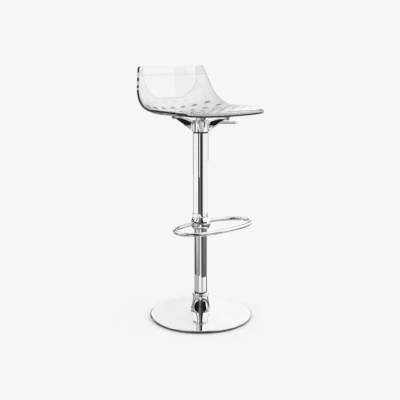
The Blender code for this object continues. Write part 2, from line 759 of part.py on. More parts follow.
def seat_profile(share, front, lip, level, bend_start, bend_radius, angle, top):
    """Depth and height along a run from the front edge: pan, round bend, straight back."""
    pan = np.clip(share / PAN_END, 0, 1)
    turn = np.clip((share - PAN_END) / (BEND_END - PAN_END), 0, 1) * angle
    back = np.clip((share - BEND_END) / (1 - BEND_END), 0, 1)
    climb = back * (top - level - bend_radius * (1 - math.cos(angle)))
    y = front + (bend_start - front) * pan + bend_radius * np.sin(turn) + climb / math.tan(angle)
    z = level + (lip - level) * (1 - pan) ** 2 + bend_radius * (1 - np.cos(turn)) + climb
    return y, z


def seat_point(share, side):
    """Inner face of the shell: share runs from front to top, side from -1 to 1 across."""
    y0, z0 = seat_profile(
        share,
        -SEAT_FRONT,
        PAN_LIP_RISE,
        0,
        PAN_BEND_START,
        PAN_BEND_RADIUS,
        BACK_ANGLE,
        BACK_RISE,
    )
    y1, z1 = seat_profile(
        share,
        RIM_FRONT_INSET - SEAT_FRONT,
        RIM_LIP_RISE,
        RIM_RISE,
        RIM_BEND_START,
        RIM_BEND_RADIUS,
        RIM_ANGLE,
        RIM_TOP_RISE,
    )
    narrowing = np.clip((z1 - NARROWING_FROM) / (RIM_TOP_RISE - NARROWING_FROM), 0, 1)
    half = SEAT_HALF_WIDTH + (TOP_HALF_WIDTH - SEAT_HALF_WIDTH) * narrowing
    curl = np.abs(side) ** SIDE_CURL
    return np.stack([side * half, y0 + (y1 - y0) * curl, z0 + (z1 - z0) * curl], axis=-1)


def corner_inset(distance, radius):
    """How far a rounded corner draws the edge in, at a distance from the end."""
    left = np.clip(radius - distance, 0, radius)
    return radius - np.sqrt(radius**2 - left**2)


def seat_reach(share, front_length, back_length):
    """Share of the half width that the rounded front and top corners leave."""
    front = corner_inset(share * front_length, FRONT_CORNER) / SEAT_HALF_WIDTH
    top = corner_inset((1 - share) * back_length, TOP_CORNER) / TOP_HALF_WIDTH
    return 1 - front - top


def seat_rows(front_length, back_length):
    """Rows from front to top, closer together where a corner is rounded."""
    front = FRONT_CORNER / front_length
    top = TOP_CORNER / back_length
    quarter = np.linspace(0, math.pi / 2, 5)
    rounded = front * (1 - np.cos(quarter))
    middle = np.linspace(front, 1 - top, 17)[1:-1]
    return np.concatenate([rounded, middle, 1 - top * (1 - np.cos(quarter[::-2]))])


def seat_shell(parent, material):
    """Open double-curved surface given its wall below and behind, with four screw bosses."""
    front_length = (SEAT_FRONT + RIM_BEND_START - RIM_FRONT_INSET) / PAN_END
    back_length = (RIM_TOP_RISE - RIM_RISE) / (1 - PAN_END)
    shares = seat_rows(front_length, back_length)
    across = np.linspace(-1, 1, 15)
    reach = seat_reach(shares, front_length, back_length)
    grid = seat_point(shares[:, None], across[None, :] * reach[:, None])
    rows, columns = grid.shape[:2]
    corner = np.arange(rows * columns).reshape(rows, columns)
    quads = np.stack([corner[:-1, :-1], corner[:-1, 1:], corner[1:, 1:], corner[1:, :-1]], axis=-1)
    mesh = bpy.data.meshes.new("seat_shell")
    mesh.from_pydata(grid.reshape(-1, 3).tolist(), [], quads.reshape(-1, 4).tolist())
    mesh.shade_smooth()
    obj = add_object("seat_shell", mesh, material, parent, (0, 0, PAN_Z))
    wall = obj.modifiers.new("wall", "SOLIDIFY")
    wall.thickness = SHELL_WALL
    wall.offset = -1
    wall.use_even_offset = True
    for x, y in arm_tips():
        boss = disc_profile(BOSS_RADIUS, 0, boss_height(x, y))
        combine(obj, turned_helper("seat_boss", boss, (x, y, BOSS_Z), SMALL_STEPS, parent), "UNION")
    for x, y in arm_tips():
        hole = disc_profile(SCREW_RADIUS + GAP, -SHELL_WALL, SCREW_GRIP + GAP)
        cutter = turned_helper("boss_hole", hole, (x, y, BOSS_Z), SMALL_STEPS, parent)
        combine(obj, cutter, "DIFFERENCE")


def boss_height(x, y):
    """From a boss's face up to a little inside the wall above it."""
    pan = (y + SEAT_FRONT) / (PAN_BEND_START + SEAT_FRONT)
    point = seat_point(np.array(pan * PAN_END), np.array(x / SEAT_HALF_WIDTH))
    return PAN_Z + point[2] - SHELL_WALL - BOSS_Z + BOSS_SINK


def release_lever(parent, chrome, grip, steel, carrier):
    """Rod on a cross pin in the hub: its inner end presses the valve when its tip is lifted."""
    inner = -LEVER_PIVOT - LEVER_RADIUS
    outer = LEVER_END - LEVER_PIVOT
    joint = outer - LEVER_TIP_LENGTH
    spigot = joint + LEVER_TIP_LENGTH / 2
    rod = [
        (0, spigot),
        (LEVER_RADIUS / 2, spigot),
        (LEVER_RADIUS / 2, joint),
        (LEVER_RADIUS, joint),
        (LEVER_RADIUS, inner),
        (0, inner),
    ]
    lie = math.radians(90) + LEVER_DROOP
    place = (LEVER_PIVOT, 0, PIVOT_Z)
    obj = turned("lever_rod", rod, chrome, parent, place, SMALL_STEPS)
    obj.rotation_euler.y = lie
    half = 2 * LEVER_RADIUS
    hole = disc_profile(LEVER_PIN_RADIUS + GAP, -half, half)
    cutter = turned_helper("lever_rod_hole", hole, place, SMALL_STEPS, parent)
    cutter.rotation_euler.x = math.radians(90)
    combine(obj, cutter, "DIFFERENCE")
    edge = LEVER_TIP_RADIUS / 3
    bore = LEVER_RADIUS / 2 + GAP
    tip = [(0, outer), (LEVER_TIP_RADIUS - edge, outer)]
    tip += arc((LEVER_TIP_RADIUS - edge, outer - edge), edge, 90, 0, 3)[1:]
    tip += [(LEVER_TIP_RADIUS, joint + GAP), (bore, joint + GAP)]
    tip += [(bore, spigot + GAP), (0, spigot + GAP)]
    obj = turned("lever_tip", tip, grip, parent, place, SMALL_STEPS)
    obj.rotation_euler.y = lie
    half = LEVER_PIN_LENGTH / 2
    points = disc_profile(LEVER_PIN_RADIUS, -half, half)
    pin = turned("lever_pin", points, steel, carrier, place, SMALL_STEPS)
    pin.rotation_euler.x = math.radians(90)


def valve_button(parent, material):
    """Button with a chamfered top in the cylinder, under the lever's inner end."""
    lever_low = LEVER_PIVOT * math.tan(LEVER_DROOP) - LEVER_RADIUS / math.cos(LEVER_DROOP)
    top = PIVOT_Z + lever_low - GAP
    points = [
        (0, 0),
        (VALVE_RADIUS - VALVE_CHAMFER, 0),
        (VALVE_RADIUS, -VALVE_CHAMFER),
        (VALVE_RADIUS, -VALVE_STEM),
        (VALVE_FLANGE_RADIUS, -VALVE_STEM),
        (VALVE_FLANGE_RADIUS, -VALVE_STEM - VALVE_FLANGE),
        (0, -VALVE_STEM - VALVE_FLANGE),
    ]
    turned("valve_button", points, material, parent, (0, 0, top), SMALL_STEPS)


def build():
    chrome = make_material("chrome", (0.86, 0.87, 0.88), 0.05, 1.0)
    steel = make_material("zinc_steel", (0.55, 0.56, 0.58), 0.35, 1.0)
    iron = make_material("cast_ballast", (0.12, 0.12, 0.13), 0.8, 0.6)
    black = make_material("black_plastic", (0.03, 0.03, 0.03), 0.45)
    rubber = make_material("black_rubber", (0.02, 0.02, 0.02), 0.85)
    clear = make_material("clear_plastic", (0.94, 0.95, 0.96), 0.03, 0.0, 1.0)

    base = add_empty("base_frame", (0, 0, 0))
    swivel = add_empty("swivel_axis", (0, 0, CAGE_Z), base)
    seat = add_empty("lift_axis", (0, 0, COLLAR_Z), swivel)
    lever = add_empty("lever_axis", (LEVER_PIVOT, 0, PIVOT_Z), seat)
    valve = add_empty("valve_axis", (0, 0, CYLINDER_TOP_Z), seat)

    base_plate(base, chrome)
    base_ballast(base, iron)
    floor_ring(base, rubber)
    base_socket(base, steel)
    column_tube(base, chrome)
    base_bell(base, chrome)
    bell_ring(base, chrome)
    column_end_plate(base, steel)
    guide_bush(base, black)
    bearing_pieces(base, swivel, steel, black)
    piston_rod(swivel, chrome)
    piston(swivel, steel)
    rod_clip(swivel, steel)
    bump_stop(swivel, rubber)
    gas_cylinder(seat, black)
    sleeve_tube(seat, chrome)
    sleeve_glide(seat, black)
    seam_ring(seat, black)
    footrest_collar(seat, chrome)
    footrest_ring(seat, chrome)
    collar_set_screw(seat, steel)
    seat_bracket(seat, chrome)
    seat_fixings(seat, rubber, steel)
    seat_shell(seat, clear)
    release_lever(lever, chrome, clear, steel, seat)
    valve_button(valve, steel)


clear_scene()
PARTS = make_collection(OBJECT_NAME)
HELPERS = make_collection("cutters")
build()
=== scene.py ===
import json
from math import cos, pi, radians, sin, tan

import bpy
import numpy as np
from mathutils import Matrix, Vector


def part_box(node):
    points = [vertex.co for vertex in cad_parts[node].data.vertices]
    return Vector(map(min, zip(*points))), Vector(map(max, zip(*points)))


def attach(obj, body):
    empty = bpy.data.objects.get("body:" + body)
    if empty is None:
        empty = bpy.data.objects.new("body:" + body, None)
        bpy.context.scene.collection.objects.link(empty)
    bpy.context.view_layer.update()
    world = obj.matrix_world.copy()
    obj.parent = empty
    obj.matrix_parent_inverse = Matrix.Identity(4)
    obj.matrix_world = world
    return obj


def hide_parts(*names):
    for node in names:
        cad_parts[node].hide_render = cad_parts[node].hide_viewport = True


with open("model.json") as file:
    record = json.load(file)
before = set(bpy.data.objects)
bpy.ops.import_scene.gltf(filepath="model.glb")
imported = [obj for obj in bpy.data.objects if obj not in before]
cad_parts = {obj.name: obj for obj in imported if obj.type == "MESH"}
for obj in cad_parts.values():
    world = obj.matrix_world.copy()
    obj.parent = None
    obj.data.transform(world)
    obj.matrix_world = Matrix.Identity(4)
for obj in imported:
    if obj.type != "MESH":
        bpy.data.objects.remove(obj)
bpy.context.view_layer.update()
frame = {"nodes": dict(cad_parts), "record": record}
nodes = frame["nodes"]


# the numbers of a grid's points, row by row
def gridIndex(rows, columns):
    return np.arange(rows * columns).reshape(rows, columns)


# quads between neighbouring points of a grid, wrapped round where a side meets itself
def gridQuads(index, wrapRows=False, wrapColumns=False):
    if wrapRows:
        index = np.vstack([index, index[:1]])
    if wrapColumns:
        index = np.hstack([index, index[:, :1]])
    quads = [index[:-1, :-1], index[:-1, 1:], index[1:, 1:], index[1:, :-1]]
    return np.stack(quads, axis=-1).reshape(-1, 4)


# triangles from a ring of points to one middle point
def fanTriangles(ring, middle, flip=False):
    after = np.roll(ring, -1)
    pair = [after, ring] if flip else [ring, after]
    return np.stack([*pair, np.full(len(ring), middle)], axis=-1)


# rings of points joined into a tube, with a fan to a middle point over each end
def closedTube(rings, ends):
    index = gridIndex(*rings.shape[:2])
    faces = [gridQuads(index, wrapColumns=True), fanTriangles(index[0], index.size, flip=True),
             fanTriangles(index[-1], index.size + 1)]
    return np.vstack([rings.reshape(-1, 3), ends]), faces


# the same surface with its faces turned over
def turnedOver(surface):
    return surface[0], [face[:, ::-1] for face in surface[1]]


# the length of each vector
def lengths(vectors):
    return np.linalg.norm(vectors, axis=-1, keepdims=True)


# a mesh object at the origin, its place in its points
def addMesh(name, points, faces, material=None, sharp=40):
    mesh = bpy.data.meshes.new(name)
    mesh.from_pydata(points.tolist(), [], [face for group in faces for face in group.tolist()])
    mesh.validate()
    mesh.shade_smooth()
    mesh.set_sharp_from_angle(angle=radians(sharp))
    piece = bpy.data.objects.new(name, mesh)
    bpy.context.scene.collection.objects.link(piece)
    if material is not None:
        mesh.materials.append(material)
    return piece


# a piece rides on its body and stands for its CAD node
def fit(piece, body, node):
    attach(piece, body)
    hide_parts(node)
    return piece


# (r, z) outline with each corner swapped for an arc that touches both its sides,
# and close pairs of points at the ends of each straight side to keep it shaded straight
def roundOutline(corners, radii, closed=True, steps=6, keep=0.0004):
    here = np.array(corners, float)
    size = np.array(radii, float) if np.ndim(radii) else np.full(len(here), float(radii))
    before, after = np.roll(here, 1, axis=0), np.roll(here, -1, axis=0)
    if not closed:
        before[0], after[-1] = here[0] - (after[0] - here[0]), here[-1] - (before[-1] - here[-1])
        size[[0, -1]] = 0
    toBefore, toAfter = before - here, after - here
    lengthBefore, lengthAfter = lengths(toBefore), lengths(toAfter)
    toBefore, toAfter = toBefore / lengthBefore, toAfter / lengthAfter
    turn = np.clip(np.sum(toBefore * toAfter, axis=1, keepdims=True), -0.99999, 0.99999)
    halfTan = np.sqrt((1 - turn) / (1 + turn))
    cut = np.minimum(size[:, None] / halfTan, 0.48 * np.minimum(lengthBefore, lengthAfter))
    t = np.linspace(0, 1, steps + 1)[None, :, None]
    sweep = (pi - np.arccos(turn))[:, :, None]
    start, end = toBefore * cut, toAfter * cut
    bisector = toBefore + toAfter
    reach = 2 * cut / np.maximum(np.sum(bisector**2, axis=1, keepdims=True), 1e-12)
    centre = bisector * reach
    fromStart, fromEnd = (start - centre)[:, None, :], (end - centre)[:, None, :]
    bow = (np.sin((1 - t) * sweep) * fromStart + np.sin(t * sweep) * fromEnd) / np.sin(sweep)
    arcs = here[:, None, :] + centre[:, None, :] + bow
    guardIn = (here + toBefore * np.minimum(cut + keep, 0.49 * lengthBefore))[:, None, :]
    guardOut = (here + toAfter * np.minimum(cut + keep, 0.49 * lengthAfter))[:, None, :]
    points = np.concatenate([guardIn, arcs, guardOut], axis=1)
    if not closed:
        points[0, :-1], points[-1, 1:] = here[0], here[-1]
    points = points.reshape(-1, 2)
    apart = np.linalg.norm(points - np.roll(points, 1, axis=0), axis=1) > 2e-6
    return points[apart]


# an (r, z) outline carried round the axis: x = r cos a, y = r sin a, with one r or one for each angle. The
# outline runs up its outer side. One that starts and ends on the axis is closed there by a fan at each end
def turnedSurface(outline, steps):
    angle = np.linspace(0, 2 * pi, steps, endpoint=False)
    across, along = np.cos(angle), np.sin(angle)
    points = np.stack([np.stack([r * across, r * along, z + 0 * angle], axis=-1) for r, z in outline])
    if np.abs(points[[0, -1], 0, 0]).max() < 1e-7:
        return closedTube(points[1:-1], points[[0, -1], 0])
    index = gridIndex(len(points), steps)
    return points.reshape(-1, 3), [gridQuads(index, wrapRows=True, wrapColumns=True)]


# a turned piece, made from its (r, z) outline
def addTurned(name, outline, steps, material):
    return addMesh(name, *turnedSurface(outline, steps), material)


# a round section carried along a flat path: centre + radius (cos b sideways + sin b upwards)
def tubeSurface(path, radius, sides):
    run = np.gradient(path, axis=0)
    run /= lengths(run)
    sideways = np.stack([run[:, 1], -run[:, 0], 0 * run[:, 0]], axis=1)
    upwards = np.cross(sideways, run)
    b = np.linspace(0, 2 * pi, sides, endpoint=False)[None, :, None]
    ring = np.cos(b) * sideways[:, None, :] + np.sin(b) * upwards[:, None, :]
    return closedTube(path[:, None, :] + radius * ring, path[[0, -1]])


# points round a circle: middle + radius (cos a, sin a)
def arc(r, z, radius, angles):
    return np.stack([r + radius * np.cos(angles), z + radius * np.sin(angles)], axis=-1)


# a new material, its node tree and its main shader
def newMaterial(name):
    material = bpy.data.materials.new(name)
    material.use_nodes = True
    tree = material.node_tree
    return material, tree, tree.nodes["Principled BSDF"]


# fills a node's sockets, by name or number, and links those that take another node: its first output, or
# the output given
def fill(node, sockets):
    for key, value in sockets.items():
        if isinstance(value, bpy.types.Node):
            value = value.outputs[0]
        if isinstance(value, bpy.types.NodeSocket):
            node.id_data.links.new(value, node.inputs[key])
        else:
            node.inputs[key].default_value = value
    return node


# a node with its settings made and its sockets filled
def addNode(tree, kind, sockets=None, **settings):
    node = tree.nodes.new("ShaderNode" + kind)
    for key, value in settings.items():
        setattr(node, key, value)
    return fill(node, sockets or {})


# noise on Object coordinates, stretched along each axis by its own scale
def addNoise(tree, scale, detail=3.0, stretch=(1, 1, 1), roughness=0.5):
    where = addNode(tree, "TexCoord").outputs["Object"]
    place = addNode(tree, "Mapping", {"Vector": where, "Scale": stretch})
    return addNode(tree, "TexNoise", {"Vector": place, "Scale": scale, "Detail": detail,
                                      "Roughness": roughness})


# a 0 to 1 value spread between two limits
def addRange(tree, value, low, high):
    return addNode(tree, "MapRange", {"Value": value, "From Min": 0.35, "From Max": 0.65, "To Min": low,
                                      "To Max": high})


# colour that runs straight from one (place, colour) stop to another as a value goes from 0 to 1
def addRamp(tree, value, *stops):
    ramp = addNode(tree, "ValToRGB", {"Fac": value})
    for element, (place, colour) in zip(ramp.color_ramp.elements, stops):
        element.position, element.color = place, (*colour, 1)
    return ramp


# fine relief: the normal leans with the slope of a value
def addBump(tree, value, strength, distance):
    return addNode(tree, "Bump", {"Height": value, "Strength": strength, "Distance": distance})


chromeLook = dict(colour=(0.975, 0.977, 0.98), dull=(0.93, 0.935, 0.945), roughness=(0.035, 0.012))
# a darker colour for the lever's plate: the same mirror finish, set darker than the chrome
darkerChromeLook = dict(colour=(0.56, 0.565, 0.57), dull=(0.47, 0.475, 0.48), roughness=(0.12, 0.05))


# polished plate: a mirror with faint cloudy wiping marks and very fine polishing lines
def chromeFinish(name, stretch, look=chromeLook):
    material, tree, shader = newMaterial(name)
    cloud = addNoise(tree, 14, 4, roughness=0.6)
    lines = addNoise(tree, 900, 2, stretch)
    fill(shader, {"Metallic": 1,
                  "Base Color": addRamp(tree, cloud, (0.38, look["dull"]), (0.62, look["colour"])),
                  "Roughness": addRange(tree, cloud, *look["roughness"]),
                  "Normal": addBump(tree, lines, 0.012, 0.0002)})
    return material


# dark is the colour where the painted shade on the clear wall is full
clearLook = dict(colour=(0.99, 0.992, 0.994), dark=(0.001, 0.001, 0.001), roughness=(0.0, 0.02),
                 index=1.585, smoke=(0.5, 0.515, 0.53), density=3.4)


# clear moulding: a refracting wall that darkens with depth, with painted shade darkening its colour along its
# edges, bend, dimples and mould lines
def clearFinish():
    material, tree, shader = newMaterial("clearPlastic")
    # painted shade: the seat's own attribute takes the wall's colour from clear towards dark
    shade = addNode(tree, "Attribute", attribute_name="paintedShading").outputs["Fac"]
    fill(shader, {"Transmission Weight": 1, "IOR": clearLook["index"],
                  "Base Color": addRamp(tree, shade, (0.0, clearLook["colour"]), (1.0, clearLook["dark"])),
                  "Roughness": addRange(tree, addNoise(tree, 22, 3), *clearLook["roughness"]),
                  "Normal": addBump(tree, addNoise(tree, 30, 2), 0.03, 0.002)})
    depth = addNode(tree, "VolumeAbsorption", {"Color": (*clearLook["smoke"], 1),
                                               "Density": clearLook["density"]})
    fill(tree.nodes["Material Output"], {"Volume": depth})
    return material


# pale, partly opaque colours of the painted light on the seat's edge, with a cloudy spread
paintedEdgeLook = dict(colour=(0.66, 0.665, 0.67), cloudy=(0.76, 0.765, 0.77), roughness=0.12, clear=0.25)


# painted light on the moulding's edge: the same plastic made pale and partly opaque, standing in for the
# light seen through the front edge, and as painted highlights on short stretches of the left side
def paintedEdgeLightFinish():
    material, tree, shader = newMaterial("edgePaintedLight")
    paintedShading = addRamp(tree, addNoise(tree, 60, 3), (0.35, paintedEdgeLook["colour"]), (0.65, paintedEdgeLook["cloudy"]))
    fill(shader, {"Transmission Weight": paintedEdgeLook["clear"], "IOR": clearLook["index"],
                  "Roughness": paintedEdgeLook["roughness"], "Base Color": paintedShading,
                  "Normal": addBump(tree, addNoise(tree, 400, 2), 0.05, 0.0005)})
    return material


# a plain finish with cloudy colour, grain in the roughness and a fine bump
def grainFinish(name, dark, pale, roughness, metallic, scale, bump, specular=0.5):
    material, tree, shader = newMaterial(name)
    cloud, grain = addNoise(tree, scale * 0.2, 4), addNoise(tree, scale, 3)
    fill(shader, {"Specular IOR Level": specular, "Metallic": metallic,
                  "Base Color": addRamp(tree, cloud, (0.35, dark), (0.65, pale)),
                  "Roughness": addRange(tree, grain, *roughness),
                  "Normal": addBump(tree, grain, bump, 0.0004)})
    return material


chrome = chromeFinish("chromeTube", (1, 1, 0.02))
chromeFlat = chromeFinish("chromePlate", (1, 1, 1))
leverPlate = chromeFinish("leverPlate", (0.02, 1, 1), darkerChromeLook)
clear = clearFinish()
paintedEdgeLight = paintedEdgeLightFinish()
zinc = grainFinish("zincSteel", (0.46, 0.47, 0.49), (0.6, 0.61, 0.62), (0.25, 0.42), 1, 700, 0.08)
enamel = grainFinish("blackEnamel", (0.018, 0.018, 0.019), (0.03, 0.03, 0.031), (0.25, 0.4), 0, 500, 0.05)
castIron = grainFinish("castIron", (0.07, 0.07, 0.075), (0.13, 0.13, 0.135), (0.6, 0.85), 0.6, 260, 0.5)
nylon = grainFinish("blackNylon", (0.01, 0.01, 0.011), (0.018, 0.018, 0.019), (0.4, 0.55), 0, 900, 0.1,
                    specular=0.12)
rubber = grainFinish("blackRubber", (0.012, 0.012, 0.012), (0.026, 0.026, 0.026), (0.7, 0.9), 0, 1200, 0.2)
finishes = dict(chrome=chromeFlat, clear_plastic=clear, zinc_steel=zinc, black_steel=enamel,
                ballast_iron=castIron, black_plastic=nylon, black_rubber=rubber)
for part in frame["record"]["subparts"]:
    slots = nodes[part["node"]].data.materials
    slots.clear()
    slots.append(finishes[part["material_slot"]])
print("finishes:", len(finishes))


base = dict(radius=0.2, wall=0.0025, rimLift=0.0028, rimHeight=0.008, rimRound=0.0045,
            domeRise=0.0135, hole=0.0253, ringWidth=0.014, ringLip=0.004, steps=288)
crownHeight = base["rimLift"] + base["rimHeight"] + base["domeRise"]
seatingGap = 0.0003  # between pieces that sit on each other


# the dome falls with the square of the distance from the axis
def domeHeight(r):
    return crownHeight - base["domeRise"] * (r / base["radius"]) ** 2


# dome from the hole outwards, a round rim, the rim's lower edge, and back under the wall
def basePlateOutline():
    radius, wall, low, hole = base["radius"], base["wall"], base["rimLift"], base["hole"]
    inside, edge = radius - wall, radius - base["rimRound"]
    slope = np.arctan(2 * base["domeRise"] * edge / radius**2)
    r = np.linspace(hole, edge, 60)
    top = np.stack([r, domeHeight(r)], axis=1)
    turn = np.linspace(pi / 2 - slope, 0, 16)[1:]
    rim = arc(edge, domeHeight(edge) - base["rimRound"], base["rimRound"], turn)
    foot = np.array([[radius, low + 0.0009], [radius, low + 0.0005], [radius - 0.0002, low + 0.0001],
                     [radius - 0.0006, low], [inside + 0.0004, low], [inside, low + 0.0004]])
    r = np.linspace(inside, hole, 30)
    under = np.stack([r, domeHeight(r) - wall], axis=1)
    return np.vstack([top, rim, foot, under])[::-1]


fit(addTurned("basePlate", basePlateOutline(), base["steps"], chromeFlat), "base", "base_plate")

outer = base["radius"] - base["wall"] - seatingGap
tread = base["rimLift"] - seatingGap
lipFall = base["domeRise"] * 2 * base["ringLip"] / base["radius"]
ringTop = domeHeight(outer) - base["wall"] - seatingGap - lipFall
lip, inner = outer - base["ringLip"], outer - base["ringWidth"]
ringCorners = [(inner, 0), (outer, 0), (outer, ringTop), (lip, ringTop), (lip, tread), (inner, tread)]
fit(addTurned("floorRing", roundOutline(ringCorners, 0.0004, steps=3), 192, rubber),
    "base", "floor_ring")

bell = dict(radius=0.04, neck=0.0285, height=0.058, wall=0.002, foot=0.0012, keep=0.0003,
            flare=(0.8, 0.95), lift=crownHeight + seatingGap, bore=0.0253, steps=192)


# bell: over a quarter-round foot the radius falls to the neck by a s + b s^2 + c s^3 of the share s of the
# height, where a + b + c = 1 and flare holds b and a
def bellOutline():
    radius, foot, height, neck = bell["radius"], bell["foot"], bell["height"], bell["neck"]
    middle = radius - foot
    under = arc(middle, foot, foot, np.linspace(-pi / 2, 0, 12)[:-1])
    z = np.append(foot, np.linspace(foot + bell["keep"], height, 39))
    fall = np.polyval([1 - sum(bell["flare"]), *bell["flare"], 0], (z - foot) / (height - foot))
    r = radius - (radius - neck) * fall
    outside = np.stack([r, z], axis=1)
    inside = np.stack([np.maximum(r - bell["wall"], bell["bore"]), z], axis=1)[::-4]
    outline = np.vstack([under, outside, [[neck - 0.0006, height + 0.0002]], inside[1:],
                         [[middle - bell["wall"], 0.0002]]])
    return outline + [0, bell["lift"]]


fit(addTurned("baseBell", bellOutline(), bell["steps"], chrome), "base", "base_bell")

beads = dict(radius=0.033, height=0.0058, count=2, bore=0.0253, lift=crownHeight + 0.0589)


# beads: half circles stacked up the column, each as high as it is round
def beadOutline():
    half = beads["height"] / 2
    turn = np.linspace(-pi / 2, pi / 2, 15)
    middle = (2 * np.arange(beads["count"])[:, None] + 1) * half
    outside = arc(beads["radius"] - half + 0 * middle, middle, half, turn)
    outside[1:, 0, 0] -= 0.0002
    outside = np.vstack([outside[0, :-1], *outside[1:]])
    bore = [[beads["bore"], 2 * beads["count"] * half], [beads["bore"], 0]]
    return np.vstack([outside, bore]) + [0, beads["lift"]]


fit(addTurned("bellRing", beadOutline(), 192, chrome), "base", "bell_ring")


# a straight tube with eased edges
def tubeOutline(inner, outer, low, high, ease=0.0004):
    return roundOutline([(inner, low), (outer, low), (outer, high), (inner, high)], ease, steps=3)


# a straight rod, closed on the axis
def rodOutline(radius, low, high):
    return np.array([(0, low), (radius, low), (radius, high), (0, high)])


column = dict(radius=0.025, wall=0.002, steps=192)
columnLow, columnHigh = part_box("column_tube")
columnOutline = tubeOutline(column["radius"] - column["wall"], column["radius"], columnLow.z, columnHigh.z)
fit(addTurned("columnTube", columnOutline, column["steps"], chrome), "base", "column_tube")
print("base: plate, ring, bell, beads and column")


sleeve = dict(radius=0.029, wall=0.002, steps=192)
sleeveLow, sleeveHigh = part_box("sleeve_tube")
seamDrop = 0.0016  # the seam ring takes this much of the sleeve's end
sleeveOutline = tubeOutline(sleeve["radius"] - sleeve["wall"], sleeve["radius"], sleeveLow.z,
                            sleeveHigh.z - seamDrop)
fit(addTurned("sleeveTube", sleeveOutline, sleeve["steps"], chrome), "seat", "sleeve_tube")
seamLow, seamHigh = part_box("seam_ring")
seam = dict(inner=0.027, radius=0.0288, edge=0.0003, steps=128)
seamOutline = tubeOutline(seam["inner"], seam["radius"], seamLow.z - seamDrop, seamHigh.z, seam["edge"])
fit(addTurned("seamRing", seamOutline, seam["steps"], nylon), "seat", "seam_ring")

collar = dict(lip=0.028, lipHeight=0.006, lipRound=0.0012, ball=0.039, ballBelow=0.0171, neckWall=0.0012,
              bore=0.0293, columnBore=0.0257, ledge=0.0078, fillet=0.0016, steps=224)
collarLow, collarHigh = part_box("footrest_collar")
ballHeight = collarLow.z + collar["lipHeight"] + collar["ballBelow"]


# collar: a lip, a ball and a straight neck, the corners between them filled by small rounds
def collarOutline():
    bore, columnBore, ledge = collar["bore"], collar["columnBore"], collar["ledge"]
    lipRadius, lipRound, lipHeight = collar["lip"], collar["lipRound"], collar["lipHeight"]
    neck, fillet = bore + collar["neckWall"], collar["fillet"]
    low = -np.arcsin(collar["ballBelow"] / collar["ball"])
    high = np.arccos(neck / collar["ball"])
    ball = arc(0, lipHeight + collar["ballBelow"], collar["ball"], np.linspace(low, high, 48))
    neckFoot = ball[-1, 1]
    lip = arc(lipRadius - lipRound, lipRound, lipRound, np.linspace(-pi / 2, 0, 6))
    hollow = np.linspace(0, 1, 6)
    under = np.stack([lipRadius + fillet * (1 - np.sqrt(1 - hollow**2)),
                      lipHeight - fillet + fillet * hollow], axis=1)
    ball = ball[ball[:, 0] > lipRadius + fillet]
    ball = ball[ball[:, 1] < neckFoot - 0.6 * fillet]
    rise = np.linspace(0, 1, 6)[1:, None]
    join = np.array([neck, neckFoot + fillet])
    bend = (1 - rise) ** 2 * ball[-1] + 2 * rise * (1 - rise) * np.array([neck, neckFoot]) + rise**2 * join
    top = collarHigh.z - collarLow.z
    mouth = np.array([[neck, top - 0.0024], [neck, top - 0.0021], [bore + 0.0002, top - 0.0001],
                      [bore + 0.0001, top], [bore, top]])
    inside = np.array([[bore, ledge], [columnBore, ledge], [columnBore, 0.0004], [columnBore + 0.0004, 0]])
    return np.vstack([lip, under, ball, bend, mouth, inside]) + [0, collarLow.z]


fit(addTurned("footrestCollar", collarOutline(), collar["steps"], chrome),
    "seat", "footrest_collar")

footrest = dict(tube=0.0075, halfWidth=0.172, halfDepth=0.08, forward=0.075, squareness=2.3, start=0.0312)


# footrest: a squared oval, x = w cos^p a and y = d sin^p a, open at the back inside the collar
def footrestPath(count=420):
    start = np.arccos((footrest["start"] / footrest["halfWidth"]) ** (footrest["squareness"] / 2))
    angle = np.linspace(start, -pi - start, 8000)
    x, y = (np.sign(wave) * np.abs(wave) ** (2 / footrest["squareness"])
            for wave in (np.cos(angle), np.sin(angle)))
    x, y = footrest["halfWidth"] * x, footrest["halfDepth"] * y - footrest["forward"]
    run = np.concatenate([[0], np.cumsum(np.hypot(np.diff(x), np.diff(y)))])
    even = np.linspace(0, run[-1], count)
    return np.stack([np.interp(even, run, x), np.interp(even, run, y), np.full(count, ballHeight)], axis=1)


footrestSurface = turnedOver(tubeSurface(footrestPath(), footrest["tube"], 48))
fit(addMesh("footrestRing", *footrestSurface, chromeFlat, 60), "seat", "footrest_ring")

socketScrew = dict(radius=0.0025, key=0.00125, deep=0.0022, chamfer=0.0004, drillTip=0.0006)
screwSteps = 48
screwAngle = np.linspace(0, 2 * pi, screwSteps, endpoint=False)


# six-sided key hole: its radius is key / cos of the angle from the nearest flat
def keyHole(key):
    return key / np.cos((screwAngle + pi / 6) % (pi / 3) - pi / 6)


# grub screw along +Y, with a key hole in its outer end
def grubScrew():
    low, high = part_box("collar_set_screw")
    flat = keyHole(socketScrew["key"])
    r, c, deep = socketScrew["radius"], socketScrew["chamfer"], socketScrew["deep"]
    rows = [(0, low.y), (r - c, low.y), (r, low.y + c), (r, high.y - c), (r - c, high.y),
            (flat + c / 3, high.y), (flat, high.y - c / 3), (flat, high.y - deep),
            (0, high.y - deep - socketScrew["drillTip"])]
    points, faces = turnedSurface(rows, screwSteps)
    laid = np.stack([-points[:, 0], points[:, 2], ballHeight + points[:, 1]], axis=1)
    return addMesh("collarSetScrew", laid, faces, zinc, 30)


fit(grubScrew(), "seat", "collar_set_screw")
print("sleeve, collar and footrest")


